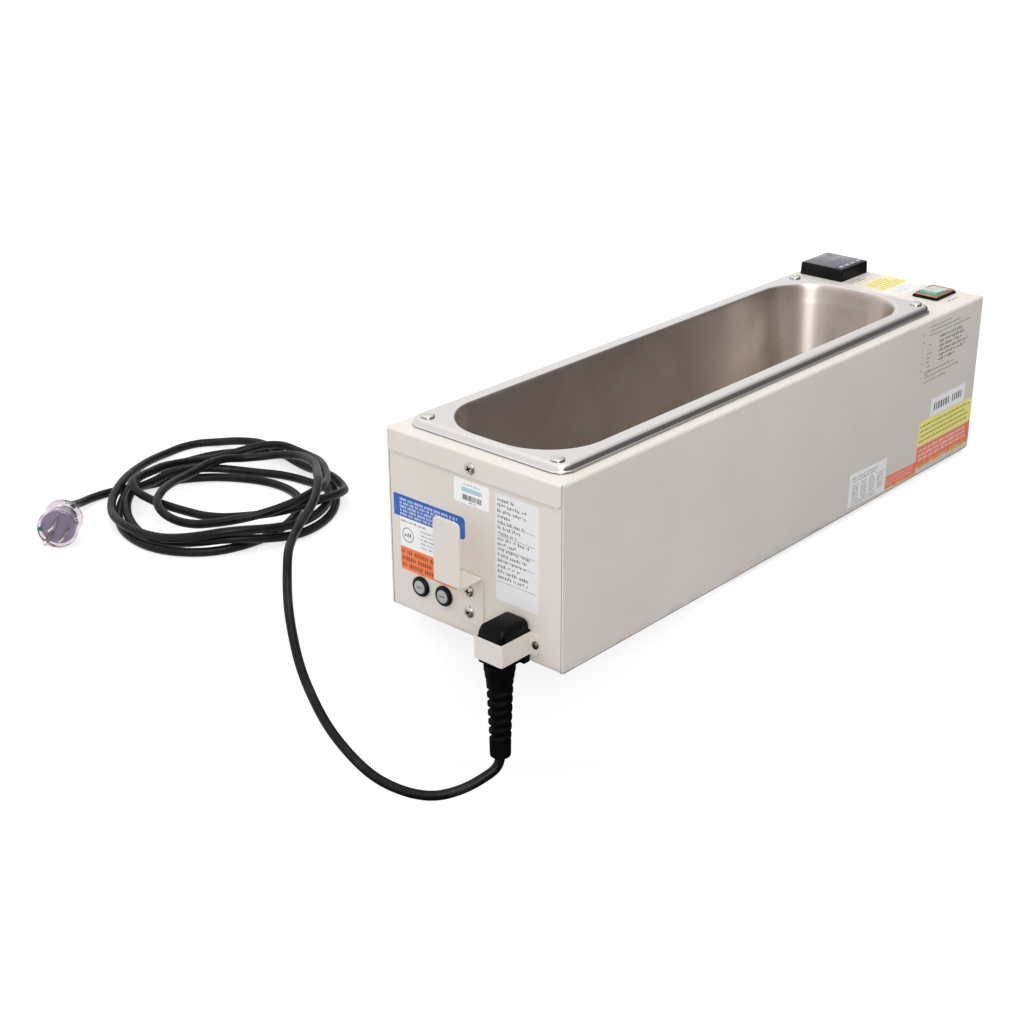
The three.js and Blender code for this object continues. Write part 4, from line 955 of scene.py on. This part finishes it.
def cord_centreline():
    """The cord's middle line, from the rings of the CAD cord, walked from its boot end."""
    mesh = frame["nodes"]["power_cord"].data
    keys = [tuple(round(value, 6) for value in vertex.co) for vertex in mesh.vertices]
    near = {key: set() for key in keys}
    for edge in mesh.edges:
        first, second = (keys[index] for index in edge.vertices)
        near[first].add(second)
        near[second].add(first)
    boot_top = middle_mm("cord_boot").to_2d().to_3d() * MM
    boot_top.z = box_mm("cord_boot")[1].z * MM
    ring_now = set(sorted(near, key=lambda key: (Vector(key) - boot_top).length)[:CORD_RING_POINTS])
    seen, line = set(), []
    while ring_now:
        line.append(np.mean([np.array(key) for key in sorted(ring_now)], axis=0) / MM)
        seen |= ring_now
        ring_now = set().union(*(near[key] for key in ring_now)) - seen
    return line


def power_cord():
    line = smooth_line(cord_centreline(), CORD_STEPS)

    def radius_at(run, angle):
        return CORD_RADIUS - CORE_SWELL + CORE_SWELL * math.cos(3 * angle + 2 * math.pi * run / CORE_LAY)

    make("coiled_cord", sweep(line, radius_at, CORD_SIDES), JACKET, replaces=["power_cord"], sharp=60)


# ---- Plug ----

PLUG_HEADING = math.radians(-137)
PLUG_ROLL = -51
CARRIER_FRONT = -5
BLADE_AT = (6.35, 3.95)
EARTH_AT = -7.9


def plug_frame():
    """The frame of the plug's face: z points out of it, and the carrier's front disc gives its middle."""
    out = Vector((math.cos(PLUG_HEADING), math.sin(PLUG_HEADING), 0))
    carrier = frame["nodes"]["plug_core"]
    points = [carrier.matrix_world @ vertex.co / MM for vertex in carrier.data.vertices]
    front = max(point @ out for point in points)
    disc = [point for point in points if front - point @ out < 0.1]
    middle = sum(disc, Vector()) / len(disc)
    middle.z = middle_mm("plug_core").z
    middle += out * (front - middle @ out)
    return face(middle - out * CARRIER_FRONT, Vector((0, 0, 1)).cross(out), (0, 0, 1))


def plug():
    """A clear shell round a dark contact carrier, with two blades, an earth pin and a green grading dot."""
    at = plug_frame()
    rolled = turned(PLUG_ROLL)
    radius = half_mm("plug_body").z
    outer = [(5, -42), (7.6, -42), (10, -36), (14, -29), (17, -27), (17.4, -25.5), (17, -24), (14, -22)]
    outer += [(13, -17), (14.5, -12), (radius, -9), (radius, -1.5), (radius - 1, 0), (0, 0)]
    inner = [(0, -4.6), (15.4, -4.6), (15.4, -9), (11.5, -13), (11.5, -27), (5, -37), (5, -42)]
    profile = filleted([*inner, *outer[1:]], 0.9, steps=4)
    blade_x, blade_y = BLADE_AT
    slots = []
    for x in (-blade_x, blade_x):
        slot = prism(outline(1.05, 3.5, 0.2, 2), -6, 2)
        slots.append(moved(slot, rolled @ shift(x, blade_y)))
    hole = lathe([(0, -6), (2.7, -6), (2.7, 2), (0, 2)], 32)
    slots.append(moved(hole, rolled @ shift(0, EARTH_AT)))
    make("plug_shell", lathe(profile, 96), VIOLET, at, replaces=["plug_body"], cuts=slots, sharp=40)

    carrier = [(0, -26), (9, -26), (10.9, -21), (10.9, -14.2), (10.2, -13), (10.2, -8), (10.9, -7.6)]
    carrier = filleted([*carrier, (10.9, -6.6), (0, -6.6)], 0.3, 2)
    make("plug_carrier", lathe(carrier), CORE, at, replaces=["plug_core"])
    disc = [(0, -6.7), (15, -6.7), (15, CARRIER_FRONT + 0.2), (0, CARRIER_FRONT + 0.2)]
    make("plug_disc", lathe(filleted(disc, 0.3, 2)), DISC, at)
    for node, x in (("plug_blade_live", -blade_x), ("plug_blade_neutral", blade_x)):
        blade_rings = [(0.75, 3.2, -4.6), (0.75, 3.2, 15.6), (0.6, 2.9, 16.9), (0.3, 2.4, 17.5)]
        shape = loft([ring(outline(x_half, y_half, 0.25, 3), z) for x_half, y_half, z in blade_rings])
        place = at @ rolled @ shift(x, blade_y)
        hole = lathe([(0, -3), (1.5, -3), (1.5, 3), (0, 3)], 24)
        hole = moved(hole, shift(0, 0, 12) @ turned(90, "Y"))
        make(node.replace("plug", "contact"), shape, NICKEL, place, replaces=[node], cuts=[hole])
    pin = filleted([(0, -4.6), (2.4, -4.6), (2.4, 18.2), (1.6, 20.2), (0, 20.5)], 0.8, 4)
    place = at @ rolled @ shift(0, EARTH_AT)
    make("contact_earth_pin", lathe(pin, 40), NICKEL, place, replaces=["plug_earth_pin"])
    dot = filleted([(0, -0.6), (2.2, -0.6), (2.2, 0.3), (1.4, 0.75), (0, 0.9)], 0.4)
    make("plug_green_dot", lathe(dot, 40), GREEN_DOT, at @ shift(-14.3, 0.9))


# ---- Feet and the pieces inside the housing ----


def feet():
    for i in range(1, 5):
        node = f"foot_{i}"
        low = box_mm(node)[0]
        radius = half_mm(node).x
        pad = [(0, low.z), (radius - 1.2, low.z), (radius, low.z + 1), (radius, -0.15)]
        stem = [(radius - 6.3, -0.15), (radius - 6.3, 1.7), (radius - 5.4, 2), (radius - 7, 4.5), (0, 4.5)]
        at = shift(*middle_mm(node).xy)
        make(f"rubber_foot_{i}", lathe(filleted(pad + stem, 0.5), 48), RUBBER, at, replaces=[node])


def interior():
    refine("heater_mat", moulded("silicone", colour(196, 98, 44), 0.6, grain=0.4), edge=0.4)
    refine("temperature_probe", SCREW, edge=0.1)
    refine("limit_thermostat", BLACK, edge=0.2)
    wool = fibrous("glass_wool", colour(232, 222, 184), colour(196, 184, 140))
    refine("insulation_blanket", wool, edge=1)
    refine("heater_relay", BLACK, edge=0.4)
    refine("terminal_block", moulded("nylon", colour(222, 218, 204), 0.45), edge=0.4)
    refine("earth_stud", BRASS, edge=0.2)
    tints = {
        "wire_live": colour(92, 52, 28),
        "wire_neutral": colour(42, 84, 168),
        "wire_earth": colour(62, 148, 58),
        "wire_heater": colour(214, 208, 190),
    }
    for node, tint in tints.items():
        refine(node, moulded(SLOTS[node], tint, 0.4, grain=0.1, dust=0.03), edge=0.1)


# ---- Labels: plain plates, with groups of ticks in place of print ----

FILM = 0.12
PRINT = 0.05
GAP = 0.02


def sticker(name, at, across, up, material, corner=0.8, turn=0, torn=0, seed=3, lift=0):
    """A thin plate on a face, between two places across it and two up it. Its low edge may be torn."""
    half_x, half_y = (across[1] - across[0]) / 2, (up[1] - up[0]) / 2
    points = outline(half_x, half_y, corner, 4)
    if torn:
        draw = random.Random(seed)
        steps = 40
        points = [Vector((half_x, half_y)), Vector((-half_x, half_y))]
        for k in range(steps + 1):
            x = -half_x + 2 * half_x * k / steps
            points.append(Vector((x, -half_y + torn * draw.random() ** 2)))
    middle = shift(sum(across) / 2, sum(up) / 2)
    make(name, prism(points, GAP + lift, FILM + lift), material, at @ middle @ turned(turn))


def ticks(across, up, rows, tall, fill, seed, level=FILM, capitals=False):
    """Rows of small upright ticks in groups as long as words: like print from afar, but saying nothing."""
    draw = random.Random(seed)
    pitch = (up[1] - up[0]) / rows
    height = pitch * tall
    shapes = []
    for row in range(rows):
        base = up[1] - (row + 0.5) * pitch - height / 2
        at = across[0]
        end = at + (across[1] - across[0]) * draw.uniform(*fill)
        while at < end:
            for _ in range(draw.randint(2, 8)):
                wide = height * draw.uniform(0.2, 0.36)
                low = 0 if capitals else draw.choice((0, 0, 0.3))
                high = 1 if capitals else draw.choice((0.7, 0.7, 1))
                if at + wide < end:
                    corners = (at, base + height * low), (at + wide, base + height * high)
                    shapes.append(slab(*corners, level - GAP, level + PRINT))
                at += wide + height * 0.3
            at += height * 0.6
    return merged(*shapes)


def printed_bar(low, high):
    return slab(low, high, FILM - GAP, FILM + PRINT)


def stripes(across, up, count):
    """Upright bars of mixed widths."""
    draw = random.Random(5)
    pitch = (across[1] - across[0]) / count
    shapes = []
    for i in range(count):
        left = across[0] + i * pitch
        shapes.append(printed_bar((left, up[0]), (left + pitch * draw.uniform(0.25, 0.75), up[1])))
    return merged(*shapes)


WHITE_FILM = film("white_film", colour(250, 250, 250))
SILVER_FILM = film("silver_film", colour(236, 236, 238), 0.3)
BLUE_FILM = film("blue_film", colour(20, 92, 186))
ORANGE_FILM = film("orange_film", colour(255, 124, 56))
YELLOW_FILM = film("yellow_film", colour(255, 246, 140))
RED_FILM = film("red_film", colour(255, 132, 98))
RESIDUE = film("label_residue", colour(236, 178, 96), 0.7)
DECK_YELLOW = film("deck_yellow_film", colour(250, 236, 150))
SKY_FILM = film("sky_film", colour(176, 208, 226))


def end_labels():
    """The mains end: a notice with a card and a strip below it, an asset label and a serial label."""
    card = (-78.5, -16.5)
    sticker("notice_label", MAINS_END, (-85, -8), (80.4, 99), BLUE_FILM, corner=3.5)
    sticker("notice_square", MAINS_END, (-85, -70), (80.4, 99), BLUE_FILM, corner=0.2, lift=0.01)
    sticker("notice_card", MAINS_END, card, (55, 80.4), WHITE_FILM, corner=0.4)
    sticker("notice_strip", MAINS_END, card, (35.2, 55), ORANGE_FILM, corner=0.4)
    notice = ticks((-78, -12), (81.2, 96.8), 5, 0.66, (0.9, 1), 11, capitals=True)
    make("notice_print", notice, PALE_INK, MAINS_END)
    sizes = ((6.2, 0.1), (6.2, 0.17), (5.6, 0.17), (5.6, 0.1))
    plain_ring = loft([ring(circle(size, 48), level, (-70, 66)) for size, level in sizes], ends="joined")
    bold = [
        plain_ring,
        ticks((-73.6, -66.6), (63.8, 68), 1, 0.8, (1, 1), 12),
        ticks((-77, -50), (75.6, 79), 1, 0.5, (1, 1), 13),
        ticks((-56, -20), (58, 75), 5, 0.4, (0.5, 0.9), 14),
        ticks((-77, -19), (36.6, 53.6), 3, 0.6, (1, 1), 15, capitals=True),
    ]
    make("card_print", merged(*bold), INK, MAINS_END)

    sticker("asset_label", MAINS_END, (-19, 17.5), (111, 130.6), WHITE_FILM, corner=2, turn=-0.8)
    sticker("asset_band", MAINS_END, (-11, 10), (121, 124.6), SKY_FILM, corner=1.6, lift=0.06)
    asset = [ticks((-9, 8), (126.2, 128.2), 1, 0.6, (1, 1), 16), stripes((-10, 10), (114.4, 118.8), 24)]
    asset += [ticks((-4, 4), (112.2, 113.8), 1, 0.7, (1, 1), 17)]
    make("asset_print", merged(*asset), INK, MAINS_END)

    sticker("serial_label", MAINS_END, (23.5, 66.6), (41.8, 129.2), SILVER_FILM, corner=1.8)
    rules = [printed_bar((25.5, height), (63, height + 0.25)) for height in (105.4, 95.4, 85.3, 75.2, 57.6)]
    rows = ticks((25.8, 63), (59.5, 127), 15, 0.62, (0.35, 0.9), 18)
    make("serial_print", merged(rows, *rules), SOFT_INK, MAINS_END)


def front_labels():
    """The front's corner: a card, a yellow label, a torn red one in two strips, and a small table."""
    edge = PANEL_X - 1
    sticker("front_card", FRONT, (223, 287.4), (54.2, 71.9), WHITE_FILM, corner=0.4, turn=-0.4)
    sticker("yellow_label", FRONT, (204, edge), (29.2, 53.2), YELLOW_FILM, corner=0.4, turn=-0.6)
    sticker("label_residue", FRONT, (204.5, edge), (5.6, 24), RESIDUE, torn=4, turn=-0.4, seed=6)
    sticker("red_label", FRONT, (204.5, edge), (7.6, 28.2), RED_FILM, torn=6.5, turn=-0.4, lift=0.03)
    sticker("strip_residue", FRONT, (150.8, 205), (2.8, 12), RESIDUE, torn=3, turn=-2.2, seed=7)
    sticker("red_strip", FRONT, (150.5, 204), (3.6, 15.6), RED_FILM, torn=3.5, turn=-2.2, seed=4, lift=0.03)
    sticker("table_label", FRONT, (86.6, 149.4), (4.6, 37), WHITE_FILM, corner=0.4, turn=-2.2)
    dark = [
        ticks((229, 282), (58.5, 67.5), 1, 0.8, (1, 1), 21, capitals=True),
        ticks((207, 300), (31.5, 51), 4, 0.34, (0.85, 1), 22, capitals=True),
    ]
    make("front_print", merged(*dark), SOFT_INK, FRONT)
    table = []
    for i, left in enumerate((93, 107, 121, 135)):
        table.append(ticks((left, left + 10), (10, 26.6), 7, 0.54, (0.9, 1), 23 + i))
    table.append(ticks((92, 142), (28.2, 33.8), 2, 0.5, (0.7, 0.9), 27))
    table.append(ticks((92, 140), (6, 9.8), 2, 0.5, (0.8, 0.9), 28))
    make("table_print", merged(*table), SOFT_INK, FRONT)
    pale = [
        ticks((208, 300), (13, 26.5), 3, 0.58, (0.9, 1), 29, capitals=True),
        ticks((153, 202), (6.5, 14.6), 3, 0.42, (0.9, 1), 30),
    ]
    make("red_print", moved(merged(*pale), shift(0, 0, 0.03)), PALE_INK, FRONT)
    steps = [
        ticks((208, 286), (136, 148), 3, 0.3, (0.5, 1), 31, GAP),
        ticks((206, 215), (98, 131), 8, 0.36, (0.7, 1), 32, GAP),
        ticks((228, 284), (108, 135), 6, 0.6, (0.4, 1), 33, GAP),
        ticks((204, 276), (91, 105), 3, 0.3, (0.5, 0.95), 34, GAP),
        ticks((197, 198.6), (96, 144), 7, 0.3, (1, 1), 35, GAP),
    ]
    make("step_print", merged(*steps), INK, FRONT)


def deck_labels():
    edge = PANEL_X - 2
    sticker("deck_notice", DECK, (259, edge), (-11, 16.2), DECK_YELLOW, corner=0.4)
    sticker("deck_card", DECK, (254, edge), (-28.4, -11.1), WHITE_FILM, corner=0.4)
    dark = [
        ticks((261, 302), (-9, 14), 6, 0.36, (0.8, 1), 41),
        ticks((257, 302), (-27, -12.6), 6, 0.3, (0.8, 1), 42),
        ticks((258, 284), (24, 31), 2, 0.62, (0.9, 1), 43, GAP),
        ticks((268, 288), (-75, -71), 1, 0.5, (1, 1), 44, GAP),
    ]
    make("deck_print", merged(*dark), INK, DECK)


# ---- Studio ----

TABLE_HEADING = Vector((0.7398, 0.6728))
TABLE_EDGE = -0.120
DROP_RUN = 0.078
DROP = 0.128
BRIGHT_SIDE = (-0.6, 0.8, 0)
CAMERA_AT = (-1.1578, -0.8157, 0.6309)
CAMERA_AZIMUTH = math.radians(-47.716)
CAMERA_ELEVATION = math.radians(23.975)
CAMERA_ROLL = math.radians(-0.297)
LENS = 60.51


def grey(value):
    return (value, value, value, 1)


def floor():
    """A white table whose near edge rolls down to a lower floor, so that the cord can hang over it."""
    top = box_mm("foot_1")[0].z * MM
    reach = 8
    stations = [-reach, -2, TABLE_EDGE - 2 * DROP_RUN]
    stations += [TABLE_EDGE - DROP_RUN + DROP_RUN * k / 24 for k in range(25)]
    stations += [TABLE_EDGE + 0.2, 2, reach]
    across = Vector((-TABLE_HEADING.y, TABLE_HEADING.x))
    vertices = []
    for station in stations:
        share = held((TABLE_EDGE - station) / DROP_RUN, 0, 1)
        height = top - DROP * share**3 * (10 - 15 * share + 6 * share**2)
        for side in (-reach, reach):
            vertices.append(Vector((*(TABLE_HEADING * station + across * side), height)))
    faces = [[2 * i, 2 * i + 1, 2 * i + 3, 2 * i + 2] for i in range(len(stations) - 1)]
    mesh = bpy.data.meshes.new("studio_floor")
    mesh.from_pydata(vertices, [], faces)
    mesh.shade_smooth()
    finish = Finish("studio_white", Roughness=0.9, Specular_IOR_Level=0.1)
    seen = finish.node("LightPath", output="Is Camera Ray")
    mirrored = finish.node("LightPath", output="Is Glossy Ray")
    behind = finish.node("SeparateXYZ", {"Vector": finish.place}, output=1)
    behind = finish.spread(behind, 0.08, 0.16)
    unseen = finish.blend(mirrored, grey(0.42), grey(0.1))
    finish.tint(seen, unseen, grey(0.5))
    finish.set("Emission Color", grey(1))
    glow = finish.times(finish.times(mirrored, behind), 0.9)
    finish.set("Emission Strength", finish.node("Mix", {0: seen, 2: glow, 3: 0.64}))
    mesh.materials.append(finish.material)
    sheet = bpy.data.objects.new("studio_floor", mesh)
    bpy.context.scene.collection.objects.link(sheet)


def sky():
    """Soft light: brightest overhead, bright at the left and the back, dim at the front and the right."""
    world = bpy.data.worlds.new("studio")
    bpy.context.scene.world = world
    world.use_nodes = True
    nodes = Nodes(world.node_tree)
    direction = nodes.node("TexCoord")
    height = nodes.node("SeparateXYZ", {"Vector": direction}, output=2)
    facing = {0: direction, 1: BRIGHT_SIDE}
    bright_side = nodes.node("VectorMath", facing, output=1, operation="DOT_PRODUCT")
    horizon = nodes.spread(bright_side, -0.6, 0.0, 0.14, 1.07, interpolation_type="SMOOTHSTEP")
    overhead = nodes.spread(height, 0.3, 1.0, 0, 1, interpolation_type="SMOOTHSTEP")
    light = nodes.node("Mix", {0: overhead, 2: horizon, 3: 1.34})
    seen = nodes.node("LightPath", output="Is Camera Ray")
    strength = nodes.node("Mix", {0: seen, 2: light, 3: 1.0})
    background = nodes.node("Background", {"Color": grey(1), "Strength": strength})
    nodes.node("OutputWorld", {"Surface": background})


def lamp(name, place, target, size, power, mirrored):
    """An area lamp that is seen only in reflections, or one that lights without being seen in them."""
    light = bpy.data.lights.new(name, "AREA")
    light.shape = "RECTANGLE"
    light.size, light.size_y = size
    light.energy = power
    holder = bpy.data.objects.new(name, light)
    holder.location = place
    holder.visible_diffuse = not mirrored
    holder.visible_glossy = mirrored
    holder.rotation_euler = (Vector(target) - Vector(place)).to_track_quat("-Z", "Y").to_euler()
    bpy.context.scene.collection.objects.link(holder)


def camera():
    data = bpy.data.cameras.new("camera")
    data.lens = LENS
    data.clip_end = 50
    holder = bpy.data.objects.new("camera", data)
    bpy.context.scene.collection.objects.link(holder)
    azimuth, elevation = CAMERA_AZIMUTH, CAMERA_ELEVATION
    ahead = math.cos(elevation)
    back = Vector((math.sin(azimuth) * ahead, -math.cos(azimuth) * ahead, math.sin(elevation)))
    right = Vector((math.cos(azimuth), math.sin(azimuth), 0))
    turn = Matrix((right, back.cross(right), back)).transposed() @ Matrix.Rotation(CAMERA_ROLL, 3, "Z")
    holder.matrix_world = Matrix.Translation(CAMERA_AT) @ turn.to_4x4()
    bpy.context.scene.camera = holder


def studio():
    floor()
    sky()
    lamp("strip", (-1.15, -1.05, 1.5), (0.1, 0, 0.1), (0.75, 1.5), 24, mirrored=True)
    lamp("fill", (-1.2, -1.6, 1.2), (0, 0, 0.1), (1.5, 1.5), 13, mirrored=False)
    camera()
    bpy.context.scene.view_settings.view_transform = "Standard"


sheet_metal()
basin()
basin_screws()
cross_screws()
controller()
rocker_switch()
fuses()
connector()
boot()
power_cord()
plug()
feet()
interior()
end_labels()
front_labels()
deck_labels()
studio()
